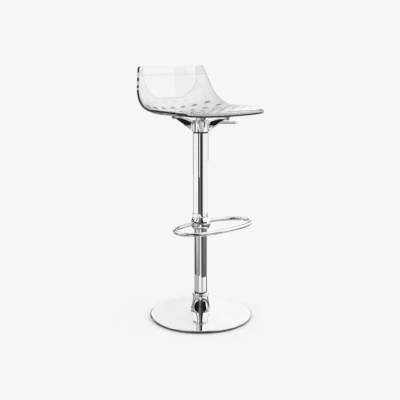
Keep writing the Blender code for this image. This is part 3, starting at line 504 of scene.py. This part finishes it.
bracket = dict(hub=0.0305, height=0.0424, tail=0.0267, tailLength=0.05, cylinder=0.0143,
               cylinderSeat=0.0193, valveHole=0.0048, slotLow=0.0232, slotHalf=0.006, slotInner=-0.0058,
               pivot=0.02, pivotHeight=0.0316, pinHole=0.0023, pinHalf=0.0183,
               rounds=(0, 0.001, 0.0002, 0.0009, 0.0016, 0))
arm = dict(splay=radians(54), reach=0.103, topRoot=0.0386, topRun=0.078, topCurve=1.35, tipDepth=0.003,
           halfRoot=0.0125, halfTip=0.01, keel=0.0055, keelFlare=0.003, flareRun=0.036, ridge=0.05,
           ridgeFlare=0.68, ridgeRun=0.025, fillet=0.003, edge=0.0016, topEdge=0.0045, sunk=0.006,
           spread=1.35, topTrim=0.0003, lowTrim=0.0006)
pad = dict(height=0.054, thick=0.007, radius=0.01, edge=0.0012, headHole=0.0058, screwHole=0.0033,
           holeLow=0.01, holeHigh=0.08)
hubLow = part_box("seat_bracket")[0].z + bracket["tailLength"]
armAngles = np.array([arm["splay"], pi - arm["splay"], pi + arm["splay"], -arm["splay"]])
armTips = arm["reach"] * np.stack([np.cos(armAngles), np.sin(armAngles), 0 * armAngles], axis=1)


# half sections with each corner swapped for a curve, (1-t)^2 from + 2t(1-t) corner + t^2 to, which starts
# and ends at most 0.42 of a side from it; each straight side keeps close pairs of points at its ends
def roundSection(corners, sizes, steps=6, keep=0.048):
    t = np.linspace(0, 1, steps)[:, None, None]
    rows = [corners[:1]]
    for before, corner, after, size in zip(corners[:-2], corners[1:-1], corners[2:], sizes):
        back, ahead = before - corner, after - corner
        backSize, aheadSize = lengths(back), lengths(ahead)
        cut = np.minimum(size, 0.42 * np.minimum(backSize, aheadSize))
        first, last = corner + back * cut / backSize, corner + ahead * cut / aheadSize
        rows.append((first + keep * back)[None])
        rows.append((1 - t) ** 2 * first + 2 * t * (1 - t) * corner + t**2 * last)
        rows.append((last + keep * ahead)[None])
    return np.concatenate([*rows, corners[-1:]]).transpose(1, 0, 2)


# arm: rounded sections along its length. The top bows up to the pad's level and then runs level, the keel
# rises in a straight line, the sides taper, and by the hub they swell along a quarter circle into a fillet
def armSurface(angle, rows=56):
    hub, fillet, padHeight = bracket["hub"], arm["fillet"], pad["height"]
    start = hub - arm["sunk"]  # inside the hub, where the union hides it
    r = start + (arm["reach"] - start) * np.linspace(0, 1, rows) ** arm["spread"]
    out = np.maximum(r - hub, 0)
    along = (r - hub) / (arm["reach"] - hub)
    rise = 1 - (1 - np.clip(out / (arm["topRun"] - hub), 0, 1)) ** arm["topCurve"]
    top = arm["topRoot"] + (padHeight - arm["topRoot"]) * rise - arm["topTrim"]
    low = np.maximum((padHeight - arm["tipDepth"]) * along, 0) + arm["lowTrim"]
    near = np.clip(1 - (r - hub) / fillet, 0, 0.98)
    half = arm["halfRoot"] + (arm["halfTip"] - arm["halfRoot"]) * along + fillet * (1 - np.sqrt(1 - near**2))
    keel = arm["keel"] + arm["keelFlare"] * np.clip(1 - out / arm["flareRun"], 0, 1) ** 2
    byHub = np.clip(1 - out / arm["ridgeRun"], 0, 1)
    ridge = low + (top - low) * (arm["ridge"] + arm["ridgeFlare"] * byHub)
    corners = np.stack([[0 * r, top], [half, top], [half, ridge], [keel, low], [0 * r, low]])
    section = roundSection(corners.transpose(0, 2, 1), [arm["topEdge"], arm["edge"], arm["edge"]])
    y, z = np.moveaxis(section, -1, 0)
    y = np.concatenate([y, -y[:, -2:0:-1]], axis=1)
    z = np.concatenate([z, z[:, -2:0:-1]], axis=1)
    x = np.repeat(r[:, None], y.shape[1], axis=1)
    points = np.stack([x * cos(angle) - y * sin(angle), x * sin(angle) + y * cos(angle), z + hubLow], axis=-1)
    return turnedOver(closedTube(points, [points[0].mean(axis=0), points[-1].mean(axis=0)]))


# joins or cuts one closed shape with another, and keeps only the result
def combineShapes(piece, other, operation):
    step = piece.modifiers.new(operation, "BOOLEAN")
    step.operation, step.solver, step.object = operation, "EXACT", other
    bpy.context.view_layer.update()
    made = bpy.data.meshes.new_from_object(piece.evaluated_get(bpy.context.evaluated_depsgraph_get()))
    piece.modifiers.clear()
    piece.data = made
    bpy.data.objects.remove(other)


# a surface with all its points shifted by one offset
def moved(surface, offset):
    return surface[0] + np.array(offset), surface[1]


# a box: low + (high - low) times 0 or 1 along each axis, at its eight corners
def boxSurface(low, high):
    low, high = np.array(low), np.array(high)
    corner = np.array([[0, 0, 0], [1, 0, 0], [1, 1, 0], [0, 1, 0],
                       [0, 0, 1], [1, 0, 1], [1, 1, 1], [0, 1, 1]])
    faces = np.array([[3, 2, 1, 0], [4, 5, 6, 7], [0, 1, 5, 4], [1, 2, 6, 5], [2, 3, 7, 6], [3, 0, 4, 7]])
    return low + corner * (high - low), [faces]


# bracket: a turned hub cut by the lever's slot and the lift's bores, joined with four arms and their pads,
# then drilled for the screws and the cross pin
def makeBracket():
    b, past = bracket, 0.1  # cutters reach past the metal
    corners = [(0, -b["tailLength"]), (b["tail"], -b["tailLength"]), (b["tail"], 0), (b["hub"], 0),
               (b["hub"], b["height"]), (0, b["height"])]
    hub = roundOutline(corners, b["rounds"], closed=False)
    piece = addTurned("seatBracket", hub + [0, hubLow], 176, chromeFlat)
    slotBox = boxSurface((b["slotInner"], -b["slotHalf"], hubLow + b["slotLow"]),
                         (arm["reach"], b["slotHalf"], hubLow + 2 * b["height"]))
    bore = rodOutline(b["cylinder"], hubLow - past, hubLow + b["cylinderSeat"])
    valve = rodOutline(b["valveHole"], hubLow, hubLow + past)
    for cutter in (slotBox, turnedSurface(bore, 64), turnedSurface(valve, 40)):
        combineShapes(piece, addMesh("cutter", *cutter), "DIFFERENCE")
    for angle in armAngles:
        combineShapes(piece, addMesh("arm", *armSurface(angle)), "UNION")
    low, head, screw = pad["height"] - pad["thick"], pad["headHole"], pad["screwHole"]
    padOutline = roundOutline(rodOutline(pad["radius"], low, pad["height"]), pad["edge"], closed=False)
    start, end = pad["holeLow"], pad["holeHigh"]
    hole = np.array([(0, start), (head, start), (head, low), (screw, low), (screw, end), (0, end)])
    for outline, steps, operation in ((padOutline, 64, "UNION"), (hole, 40, "DIFFERENCE")):
        for tip in armTips:
            surface = moved(turnedSurface(outline, steps), tip + [0, 0, hubLow])
            combineShapes(piece, addMesh("shape", *surface), operation)
    pinPoints, pinFaces = turnedSurface(rodOutline(b["pinHole"], -b["pinHalf"], b["pinHalf"]), 32)
    pinPoints = np.stack([pinPoints[:, 0] + b["pivot"], -pinPoints[:, 2],
                          pinPoints[:, 1] + hubLow + b["pivotHeight"]], axis=1)
    combineShapes(piece, addMesh("cutter", pinPoints, pinFaces), "DIFFERENCE")
    piece.data.shade_smooth()
    piece.data.set_sharp_from_angle(angle=radians(32))
    piece.data.materials.clear()
    piece.data.materials.append(chromeFlat)
    return piece


fit(makeBracket(), "seat", "seat_bracket")

fixing = dict(washer=0.009, washerHole=0.0033, washerEdge=0.0003, screw=0.003, head=0.0055,
              headHeight=0.003, key=0.0019, keyDeep=0.0018, keyEdge=0.0002, land=0.0006, drillTip=0.0005,
              threadRows=40, threadDepth=0.00016, point=0.0008)


# washer and pan-head screw of one arm tip: the head is a quarter ellipse and the thread is rows of two radii
def addFixing(number, tip):
    place = (tip[0], tip[1], 0)
    low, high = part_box(f"seat_washer_{number}")
    outline = tubeOutline(fixing["washerHole"], fixing["washer"], low.z, high.z, fixing["washerEdge"])
    washer = addMesh(f"seatWasher{number}", *moved(turnedSurface(outline, 64), place), rubber)
    fit(washer, "seat", f"seat_washer_{number}")
    low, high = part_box(f"seat_screw_{number}")
    flat, edge = keyHole(fixing["key"]), fixing["keyEdge"]
    inner, head, height = fixing["key"] + fixing["land"], fixing["head"], fixing["headHeight"]
    crown = np.linspace(pi / 2, 0, 8)
    dome = [(inner + (head - inner) * cos(c), low.z + height - height * sin(c)) for c in crown]
    turns = np.linspace(low.z + height, high.z - fixing["point"], fixing["threadRows"])
    thread = [(fixing["screw"] - fixing["threadDepth"] * (k % 2), z) for k, z in enumerate(turns)]
    keyEnd = low.z + fixing["keyDeep"]
    rows = [(0, keyEnd + fixing["drillTip"]), (flat, keyEnd), (flat, low.z + edge), (flat + edge, low.z),
            *dome, (head, low.z + height), *thread, (fixing["screw"] - fixing["point"], high.z), (0, high.z)]
    surface = moved(turnedSurface(rows, screwSteps), place)
    fit(addMesh(f"seatScrew{number}", *surface, zinc, 30), "seat", f"seat_screw_{number}")


for number, tip in enumerate(armTips, 1):
    addFixing(number, tip)
print("bracket and its fixings")


seat = dict(panHeight=0.7956, wall=0.008, halfWidth=0.2035, topHalfWidth=0.1595, narrowFrom=0.03,
            sideCurl=2.2, frontCorner=0.1, topCorner=0.006, panEnd=0.55, bendEnd=0.8, length=0.55,
            rows=230, columns=176, rimSteps=16, bead=0.0026, beadRun=0.016, topMargin=0.0006)
middleRun = dict(front=-0.2066, lip=0.0195, level=0.0, bend=0.1163, radius=0.072, angle=radians(84),
                 top=0.175)
rimRun = dict(front=-0.1866, lip=0.0225, level=0.029, bend=0.0405, radius=0.11, angle=radians(72),
              top=0.1785)
# dimples in the wall; slope and steep also set where their far sides take painted shade
relief = dict(pitch=0.05, rowPitch=0.027, across=0.0215, along=0.014, depth=0.0014, margin=0.02, slope=2.6,
              steep=(0.25, 0.55))
boss = dict(face=0.0085, side=0.0022)
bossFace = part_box("seat_washer_1")[1].z + seatingGap
backLines = dict(bandHeight=0.9406, windowLow=0.851, windowHalf=0.131, corner=0.09, step=0.0009, blur=0.0016,
                 margin=0.008, windowLine=0.0016, bandLine=0.0014, lineEnd=0.03)
# strengths of the painted shade on the seat's clear wall, from 0 for clear to 1 for dark
paintedShade = dict(border=0.16, band=0.14, bend=0.46, dash=0.95, line=0.4, rim=0.995, rightSide=0.45, strip=0.95,
            stripEdge=(0.0056, 0.014), stripRight=0.2, nearSide=0.85, nearEdge=(0.062, 0.062), lip=0.45,
            lipLine=0.88)
# where each effect comes in, and goes out, along the seat: a share of its length and the run it takes; the
# border, bend, strip, near, rim and lip effects are painted shade
spans = dict(relief=(0.24, 0.2, 0.66, 0.1), border=(0.6, 0.12), back=(0.62, 0.05), bead=(0.1, 0.12),
             bend=(0.28, 0.18, 0.56, 0.18), strip=(0.32, 0.12, 0.7, 0.1), near=(0.34, 0.12, 0.62, 0.14),
             rim=(0.16, 0.2, 0.992, 0.004), lip=(0.12, 0.06))
# angles round the rim from the inner face where painted shade lies: the outer half's start and run, the lip
# line's start and end
rimTurn = dict(outer=(radians(5), radians(30)), lipLine=(radians(80), radians(130)))
# where the painted edge light lies: a front share of the rim's middle bands, and heights of stretches on the
# left side
edgeLightPlaces = dict(frontShare=0.11, bands=slice(3, 7),
            stretches=((0.9335, 0.951), (0.905, 0.92), (0.89, 0.8955)))


# depth and height along a run from the front edge: a pan with a rising lip, a round bend, a straight back
def seatRun(share, front, lip, level, bend, radius, angle, top):
    pan = np.clip(share / seat["panEnd"], 0, 1)
    turn = np.clip((share - seat["panEnd"]) / (seat["bendEnd"] - seat["panEnd"]), 0, 1) * angle
    back = np.clip((share - seat["bendEnd"]) / (1 - seat["bendEnd"]), 0, 1.2)
    climb = back * (top - level - radius * (1 - cos(angle)))
    y = front + (bend - front) * pan + radius * np.sin(turn) + climb / tan(angle)
    z = level + (lip - level) * (1 - pan) ** 2 + radius * (1 - np.cos(turn)) + climb
    return y, z


# inner face: the middle run curls into the rim run with a power of the sideways share
def seatPoint(share, side):
    y0, z0 = seatRun(share, **middleRun)
    y1, z1 = seatRun(share, **rimRun)
    narrowing = np.clip((z1 - seat["narrowFrom"]) / (rimRun["top"] - seat["narrowFrom"]), 0, 1)
    half = seat["halfWidth"] + (seat["topHalfWidth"] - seat["halfWidth"]) * narrowing
    curl = np.abs(side) ** seat["sideCurl"]
    z = seat["panHeight"] + z0 + (z1 - z0) * curl
    return np.stack([side * half, y0 + (y1 - y0) * curl, z], axis=-1)


# across the wall, from the inner face out: the cross product of the two directions on the face
def seatNormal(share, side):
    d = 0.002
    alongShare = seatPoint(share + d, side) - seatPoint(share - d, side)
    alongSide = seatPoint(share, side + d) - seatPoint(share, side - d)
    normal = np.cross(alongSide, alongShare)
    return normal / lengths(normal)


# how far a rounded corner draws the edge in
def cornerInset(distance, radius):
    left = np.clip(radius - distance, 0, radius)
    return radius - np.sqrt(radius**2 - left**2)


# staggered long dimples: (1 - d^2)^2 of the distance d to the nearest middle, counted in the dimple's own
# half lengths, and with it the steepness of the dimple's far side, from 0 to 1
def dimples(x, run):
    best, steep = np.zeros_like(x), np.zeros_like(x)
    for step in (0, 1):
        row = np.floor(run / relief["rowPitch"]) + step
        shift = 0.5 * (row % 2)
        column = np.round(x / relief["pitch"] - shift)
        dx = (x - (column + shift) * relief["pitch"]) / relief["across"]
        dy = (run - row * relief["rowPitch"]) / relief["along"]
        inside = np.clip(1 - dx**2 - dy**2, 0, 1)
        best = np.maximum(best, inside**2)
        steep = np.maximum(steep, np.clip(relief["slope"] * inside * dy, 0, 1))
    return best, steep


# an eased step from 0 to 1: 3 v^2 - 2 v^3 of the share v of a run past its start
def easeIn(value, start, run):
    v = np.clip((value - start) / run, 0, 1)
    return v * v * (3 - 2 * v)


# the same step from 1 to 0
def easeOut(value, start, run):
    return 1 - easeIn(value, start, run)


# an eased window: it rises past one start and falls past another, each over its own run
def between(value, start, run, end, endRun):
    return easeIn(value, start, run) * easeOut(value, end, endRun)


# an eased step across a mould line, half on each side of it
def beyond(distance):
    return easeIn(distance, -backLines["blur"], 2 * backLines["blur"])


# a bell curve across a mould line: e^-(d / width)^2
def lineAt(distance, width):
    return np.exp(-((distance / width) ** 2))


# the painted shade of layers, one over the other: what each lets through is multiplied
def layered(*tones):
    through = 1
    for paintedShading in tones:
        through = through * (1 - paintedShading)
    return 1 - through


# signed distance to a window with straight sides and round lower corners, open at the top
def windowDistance(x, z):
    inX = np.abs(x) - (backLines["windowHalf"] - backLines["corner"])
    inZ = (backLines["windowLow"] + backLines["corner"]) - z
    outside = np.hypot(np.maximum(inX, 0), np.maximum(inZ, 0))
    return outside + np.minimum(np.maximum(inX, inZ), 0) - backLines["corner"]


# painted shade on the clear wall, 0 for clear: a grey border round the back's window, a darker bend, the
# dimples' far sides and the mould lines, each painted darker into the wall's colour
def seatPaintedShade(share, window, band, onBack, steep, relieved):
    border = (paintedShade["border"] + paintedShade["band"] * beyond(band)) * beyond(window) * easeIn(share, *spans["border"])
    bend = paintedShade["bend"] * between(share, *spans["bend"])
    dash = paintedShade["dash"] * easeIn(steep, *relief["steep"]) * relieved
    line = lineAt(window, backLines["windowLine"]) * (band < backLines["lineEnd"])
    line = paintedShade["line"] * np.maximum(line, lineAt(band, backLines["bandLine"])) * onBack
    return layered(border, bend, dash, line)


# painted shade on the side walls by the rim: a dark strip along the left edge, fainter along the right, and a
# wider painted shade up the left side's bend
def sidePaintedShade(share, side, edge):
    strip = easeOut(edge, *paintedShade["stripEdge"]) * between(share, *spans["strip"])
    near = easeOut(edge, *paintedShade["nearEdge"]) * between(share, *spans["near"])
    return layered(paintedShade["strip"] * np.where(side < 0, 1, paintedShade["stripRight"]) * strip,
                   paintedShade["nearSide"] * (side < 0) * near)


# painted shade on the rim: dark along the sides, where the wall is seen end on
def rimPaintedShade(share, onSide):
    return paintedShade["rim"] * onSide * between(share, *spans["rim"])


# painted shade on the front lip: grey above, and below it a dark line between two angles round the rim
def lipPaintedShade(share, turn):
    start, end = rimTurn["lipLine"]
    lower = np.where(turn < end, paintedShade["lipLine"], 0)
    return easeOut(share, *spans["lip"]) * np.where(turn > start, lower, paintedShade["lip"])


# seat: an inner face, an outer face one wall away along its normal, and a half-round rim between them
def makeSeat():
    inset = seat["wall"] / 2  # the round rim gives this back
    frontLength = (-rimRun["front"] + rimRun["bend"]) / seat["panEnd"]
    backLength = (rimRun["top"] - rimRun["level"]) / (1 - seat["panEnd"])
    first = inset / ((middleRun["bend"] - middleRun["front"]) / seat["panEnd"])
    last = 1 - (inset + seat["topMargin"]) / seat["length"]
    frontShare, topShare = seat["frontCorner"] / frontLength, seat["topCorner"] / backLength
    front = frontShare * (1 - np.cos(np.linspace(0, pi / 2, 50)))
    top = 1 - topShare * (1 - np.cos(np.linspace(pi / 2, 0, 16)))
    middle = np.linspace(frontShare, 1 - topShare, seat["rows"] - 64)[1:-1]
    share = np.concatenate([front, middle, top])
    reach = 1 - cornerInset(share * frontLength, seat["frontCorner"]) / seat["halfWidth"]
    reach = reach - cornerInset((1 - share) * backLength, seat["topCorner"]) / seat["topHalfWidth"]
    reach = reach - inset / seat["halfWidth"]
    share = first + (last - first) * share
    across = np.linspace(-1, 1, seat["columns"])
    share, side = np.broadcast_arrays(share[:, None], across[None, :] * reach[:, None])
    inner = seatPoint(share, side)
    normal = seatNormal(share, side)
    # wall: dimples thin it from the pan's middle up the bend, and a window thins it in the back
    turned = (share - seat["panEnd"]) / (seat["bendEnd"] - seat["panEnd"]) * middleRun["angle"]
    run = np.where(share < seat["panEnd"], seatRun(share, **middleRun)[0],
                   middleRun["bend"] + middleRun["radius"] * turned)
    edge = np.minimum(np.minimum(side - side[:, :1], side[:, -1:] - side) * seat["halfWidth"],
                      np.minimum(share - first, last - share) * seat["length"])
    relieved = easeIn(edge, 0, relief["margin"]) * between(share, *spans["relief"])
    hollow, steep = dimples(inner[..., 0], run)
    wall = seat["wall"] - relief["depth"] * hollow * relieved
    rim = easeIn(edge, 0, backLines["margin"])
    onBack = easeIn(share, *spans["back"])
    window = windowDistance(inner[..., 0], inner[..., 2])
    band = inner[..., 2] - backLines["bandHeight"]
    wall = wall - backLines["step"] * (1 - beyond(window)) * onBack * rim
    wall = wall + 0.5 * backLines["step"] * beyond(band) * rim
    # front bead: the wall thickens downwards to the front edge
    wall = wall + seat["bead"] * easeOut(edge, 0, seat["beadRun"]) * easeOut(share, *spans["bead"])
    outer = inner - normal * wall[..., None]
    # bosses: a flat round face at the pads, with steep sides
    for tip in armTips:
        away = np.hypot(outer[..., 0] - tip[0], outer[..., 1] - tip[1])
        onBoss = easeOut(away, boss["face"], boss["side"]) * (share < seat["panEnd"])
        outer[..., 2] += (bossFace - outer[..., 2]) * onBoss
    # rim: half circles from the inner edge round to the outer edge
    rows, columns = share.shape
    index = gridIndex(rows, columns)
    loop = np.concatenate([index[0, :-1], index[:-1, -1], index[-1, :0:-1], index[:0:-1, 0]])
    innerEdge, outerEdge = inner.reshape(-1, 3)[loop], outer.reshape(-1, 3)[loop]
    along = np.roll(innerEdge, -1, axis=0) - np.roll(innerEdge, 1, axis=0)
    outwards = np.cross(along, normal.reshape(-1, 3)[loop])
    outwards *= inset / lengths(outwards)
    turn = np.linspace(0, pi, seat["rimSteps"] + 1)[1:-1][:, None, None]
    centre, half = (innerEdge + outerEdge) / 2, (innerEdge - outerEdge) / 2
    rimPoints = centre + half * np.cos(turn) + outwards * np.sin(turn)
    count = rows * columns
    points = np.vstack([inner.reshape(-1, 3), outer.reshape(-1, 3), rimPoints.reshape(-1, 3)])
    rimIndex = 2 * count + gridIndex(seat["rimSteps"] - 1, len(loop))
    strip = np.vstack([loop, rimIndex, loop + count])
    faces = [gridQuads(index), gridQuads(index + count)[:, ::-1],
             gridQuads(strip, wrapColumns=True)[:, [0, 3, 2, 1]]]
    piece = addMesh("seatShell", points, faces, clear, 80)
    # painted light: a pale, partly opaque finish on the middle of the rim along the front, and painted
    # highlights on short stretches of the left side
    piece.data.materials.append(paintedEdgeLight)
    loopShare, onLeft, onRight = share.ravel()[loop], loop % columns == 0, loop % columns == columns - 1
    paintedLightFaces = np.zeros((seat["rimSteps"], len(loop)), bool)
    paintedLightFaces[edgeLightPlaces["bands"]] = loopShare < edgeLightPlaces["frontShare"]
    for low, high in edgeLightPlaces["stretches"]:
        paintedLightFaces[:, onLeft & (innerEdge[:, 2] > low) & (innerEdge[:, 2] < high)] = True
    kind = np.zeros(len(piece.data.polygons), np.int32)
    kind[-paintedLightFaces.size:] = paintedLightFaces.ravel()
    piece.data.polygons.foreach_set("material_index", kind)
    # painted shade: on the outer face and round the rim, none on the inner face but its left edge
    shade = np.zeros(len(points))
    paintedShading = layered(seatPaintedShade(share, window, band, onBack, steep, relieved), sidePaintedShade(share, side, edge))
    shade[count:2 * count] = paintedShading.ravel()
    edgePaintedShade = rimPaintedShade(loopShare, onLeft + paintedShade["rightSide"] * onRight)
    around = turn[:, 0]
    roundPaintedShade = np.where(onLeft, 1, easeIn(around, *rimTurn["outer"])) * edgePaintedShade
    shade[2 * count:] = np.maximum(roundPaintedShade, lipPaintedShade(loopShare, around)).ravel()
    shade[loop] = edgePaintedShade * onLeft
    shade[loop + count] = np.maximum(edgePaintedShade, shade[loop + count])
    piece.data.attributes.new("paintedShading", "FLOAT", "POINT").data.foreach_set("value", shade.astype(np.float32))
    return piece


seatShell = fit(makeSeat(), "seat", "seat_shell")
print("seat:", len(seatShell.data.polygons), "faces")


lever = dict(radius=0.005, end=0.173, inner=-0.025, tipLength=0.016, tipRadius=0.0056, droop=radians(3.5),
             spigot=0.0025, spigotLength=0.008, rodRounds=(0, 0.0012, 0.0004, 0.0002, 0.0006, 0),
             tipRounds=(0, 0.0003, 0.0002, 0.0006, 0.0022, 0))


# a turned outline (r, distance) laid along the drooping lever, from its pivot outwards
def alongLever(outline, steps):
    points, faces = turnedSurface(outline, steps)
    x, y, z = points[:, 2], points[:, 1], -points[:, 0]
    c, s = cos(lever["droop"]), sin(lever["droop"])
    laid = np.stack([x * c + z * s, y, z * c - x * s], axis=1)
    return laid + [bracket["pivot"], 0, hubLow + bracket["pivotHeight"]], faces


joint = lever["end"] - lever["tipLength"]
spigot, spigotEnd = lever["spigot"], joint + lever["spigotLength"]
rodCorners = [(0, lever["inner"]), (lever["radius"], lever["inner"]), (lever["radius"], joint),
              (spigot, joint), (spigot, spigotEnd), (0, spigotEnd)]
rod = roundOutline(rodCorners, lever["rodRounds"], closed=False)
fit(addMesh("leverRod", *alongLever(rod, 64), leverPlate), "lever", "lever_rod")
socket, tipStart = spigot + seatingGap, joint + seatingGap
tipCorners = [(0, spigotEnd + seatingGap), (socket, spigotEnd + seatingGap), (socket, tipStart),
              (lever["tipRadius"], tipStart), (lever["tipRadius"], lever["end"]), (0, lever["end"])]
tipOutline = roundOutline(tipCorners, lever["tipRounds"], closed=False)
fit(addMesh("leverTip", *alongLever(tipOutline, 64), clear), "lever", "lever_tip")
print("lever")


# studio: a pale floor with painted light near the object, an even white surround, and dark flags that only
# gloss can see
view = dict(azimuth=-41.0, pitch=11.79, distance=2.721, height=1.0355, lens=64.836, sensor=36,
            shift=(-0.001625, 0.00025))
# the floor's lift is painted light, added to its colour near the object
studio = dict(background=0.9225, light=1.0, floorHalf=9, floorTop=-0.0004, floorThick=0.02, floorColour=0.92,
              floorPaintedLight=0.072, floorFade=0.7)


# the flags' cloth: its brightness is the mesh's own shade attribute
def flagShader():
    material, tree = newMaterial("flagCloth")[:2]
    tree.nodes.clear()
    shade = addNode(tree, "Attribute", attribute_name="shade").outputs["Fac"]
    addNode(tree, "OutputMaterial", {"Surface": addNode(tree, "Emission", {"Color": shade})})
    return material


# floor: its paleness rises towards the object as colour + lift e^(-distance / fade), painted light that evens
# out the object's soft shade on it
def addFloor():
    material, tree, shader = newMaterial("paleFloor")
    place = addNode(tree, "TexCoord").outputs["Object"]
    reach = addNode(tree, "VectorMath", {0: place}, operation="LENGTH").outputs["Value"]
    fall = addNode(tree, "Math", {0: reach, 1: -1 / studio["floorFade"]}, operation="MULTIPLY")
    fade = addNode(tree, "Math", {0: fall}, operation="EXPONENT")
    pale = addNode(tree, "Math", {0: fade, 1: studio["floorPaintedLight"], 2: studio["floorColour"]},
                   operation="MULTIPLY_ADD")
    fill(shader, {"Base Color": pale, "Roughness": 0.9, "Specular IOR Level": 0.0})
    half = studio["floorHalf"]
    points, faces = boxSurface((-half, -half, -studio["floorThick"]), (half, half, studio["floorTop"]))
    addMesh("floor", points, faces, material)


# a flag curved round the object; its radius, height and shade run straight from its near or low edge to its
# far or high edge, or are even. Azimuths are counted from the camera's side, rightwards in the picture
def addFlag(name, angles, radii, heights, shades):
    steps = int((angles[1] - angles[0]) / 3) + 2
    angle = np.radians(view["azimuth"] + np.linspace(*angles, steps))
    share = np.linspace(0, 1, 13 if np.ndim(shades) else 2)[:, None]
    pairs = [np.broadcast_to(values, 2) for values in (radii, heights, shades)]
    radius, height, shade = (low + (high - low) * share + 0 * angle for low, high in pairs)
    points = np.stack([radius * np.sin(angle), -radius * np.cos(angle), height], axis=-1)
    flag = addMesh(name, points.reshape(-1, 3), [gridQuads(gridIndex(len(share), steps))], flagCloth)
    attribute = flag.data.attributes.new("shade", "FLOAT", "POINT")
    attribute.data.foreach_set("value", shade.ravel().astype(np.float32))
    for ray in ("camera", "diffuse", "transmission", "shadow", "volume_scatter"):
        setattr(flag, "visible_" + ray, False)


flagRadius, cardHeight = 1.7, 0.002
# upright flags, and cards that lie on the floor: angles, radius, height and shade
flags = dict(
    stripeMain=((-9, 33), flagRadius, (0, 0.54), 0.03),
    stripeThin=((-39, -22), flagRadius, (0, 0.54), 0.01),
    stripeLow=((-22, 4), flagRadius - 0.01, (0, 0.27), 0.15),
    edgeLeft=((-161, -132), flagRadius, (0, 0.6), 0.02),
    rimLeft=((-161, -92), flagRadius, (0.6, 1.02), 0.01),
    highLeft=((-45, 10), flagRadius, (0.545, 0.66), 0.01),
    hubLeft=((-105, -70), flagRadius, (0.545, 0.66), 0.22),
    highRight=((10, 45), flagRadius, (0.62, 0.74), 0.01),
    lineGrey=((-30, 5), flagRadius, (0.66, 4.5), 0.16),
    lineBlack=((5, 34), flagRadius, (0.74, 4.5), 0.02),
    lineLeft=((-66, -50), flagRadius, (1.05, 4.5), 0.05),
    mirrorEdge=((-100, -84), flagRadius, (1.1, 1.45), 0.2),
    bandBack=((140, 220), 0.8, (0.5, 0.95), 0.22),
    ceilingTop=((-180, 180), (0.02, flagRadius), 4.5, 0.1),
    farBell=((-120, 74), 6.0, (0.3, 2.1), 0.01),
    farLow=((-105, 74), 8.0, (0, 0.42), 0.01),
    backLeft=((-181, -146), 0.45, (0.02, 0.49), 0.885),
    backRight=((146, 179), 0.45, (0.02, 0.49), 0.955),
    floorLeft=((-170, -89), (0.55, flagRadius), cardHeight, (0.05, 0.16)),
    floorLeftNear=((-170, -27), (0.31, 0.55), cardHeight, 0.45),
    floorMid=((-89, -46), (0.55, flagRadius), cardHeight, (0.3, 0.78)),
    floorFront=((-46, -9), (0.55, flagRadius), cardHeight, (0.28, 0.38)),
    floorBlack=((9, 46), (0.52, flagRadius), cardHeight, (0.1, 0.04)),
    floorBlackNear=((9, 46), (0.31, 0.52), cardHeight, 0.5),
    floorRight=((46, 165), (0.52, flagRadius), cardHeight, (0.13, 0.21)),
    floorRightNear=((114, 165), (0.31, 0.52), cardHeight, 0.1),
    floorRim=((-130, 130), (0.203, 0.24), cardHeight, 0.01),
    floorBall=((-165, 165), (0.24, 0.31), cardHeight, 0.02),
)


# surround: white light from all sides, and the background's grey where the camera looks at it straight or
# through clear plastic
def addWorld():
    world = bpy.data.worlds.new("studio")
    bpy.context.scene.world = world
    world.use_nodes = True
    tree = world.node_tree
    tree.nodes.clear()
    rays = addNode(tree, "LightPath").outputs
    shown = addNode(tree, "Math", {0: rays["Is Camera Ray"], 1: rays["Is Transmission Ray"]},
                    operation="MAXIMUM")
    around, behind = (addNode(tree, "Background", {"Color": (1, 1, 1, 1), "Strength": studio[key]})
                      for key in ("light", "background"))
    mix = addNode(tree, "MixShader", {0: shown, 1: around, 2: behind})
    addNode(tree, "OutputWorld", {"Surface": mix})


# camera: at distance (sin a, -cos a) round the axis, facing it and tipped down by the pitch
def addCamera():
    data = bpy.data.cameras.new("camera")
    data.lens, data.sensor_width = view["lens"], view["sensor"]
    data.shift_x, data.shift_y = view["shift"]
    data.clip_start = 0.05
    camera = bpy.data.objects.new("camera", data)
    bpy.context.scene.collection.objects.link(camera)
    turn = radians(view["azimuth"])
    camera.location = (view["distance"] * sin(turn), -view["distance"] * cos(turn), view["height"])
    camera.rotation_euler = (radians(90 - view["pitch"]), 0, turn)
    bpy.context.scene.camera = camera


addFloor()
flagCloth = flagShader()
for name, values in flags.items():
    addFlag(name, *values)
addWorld()
addCamera()
bpy.context.scene.view_settings.view_transform = "Standard"
print("studio")
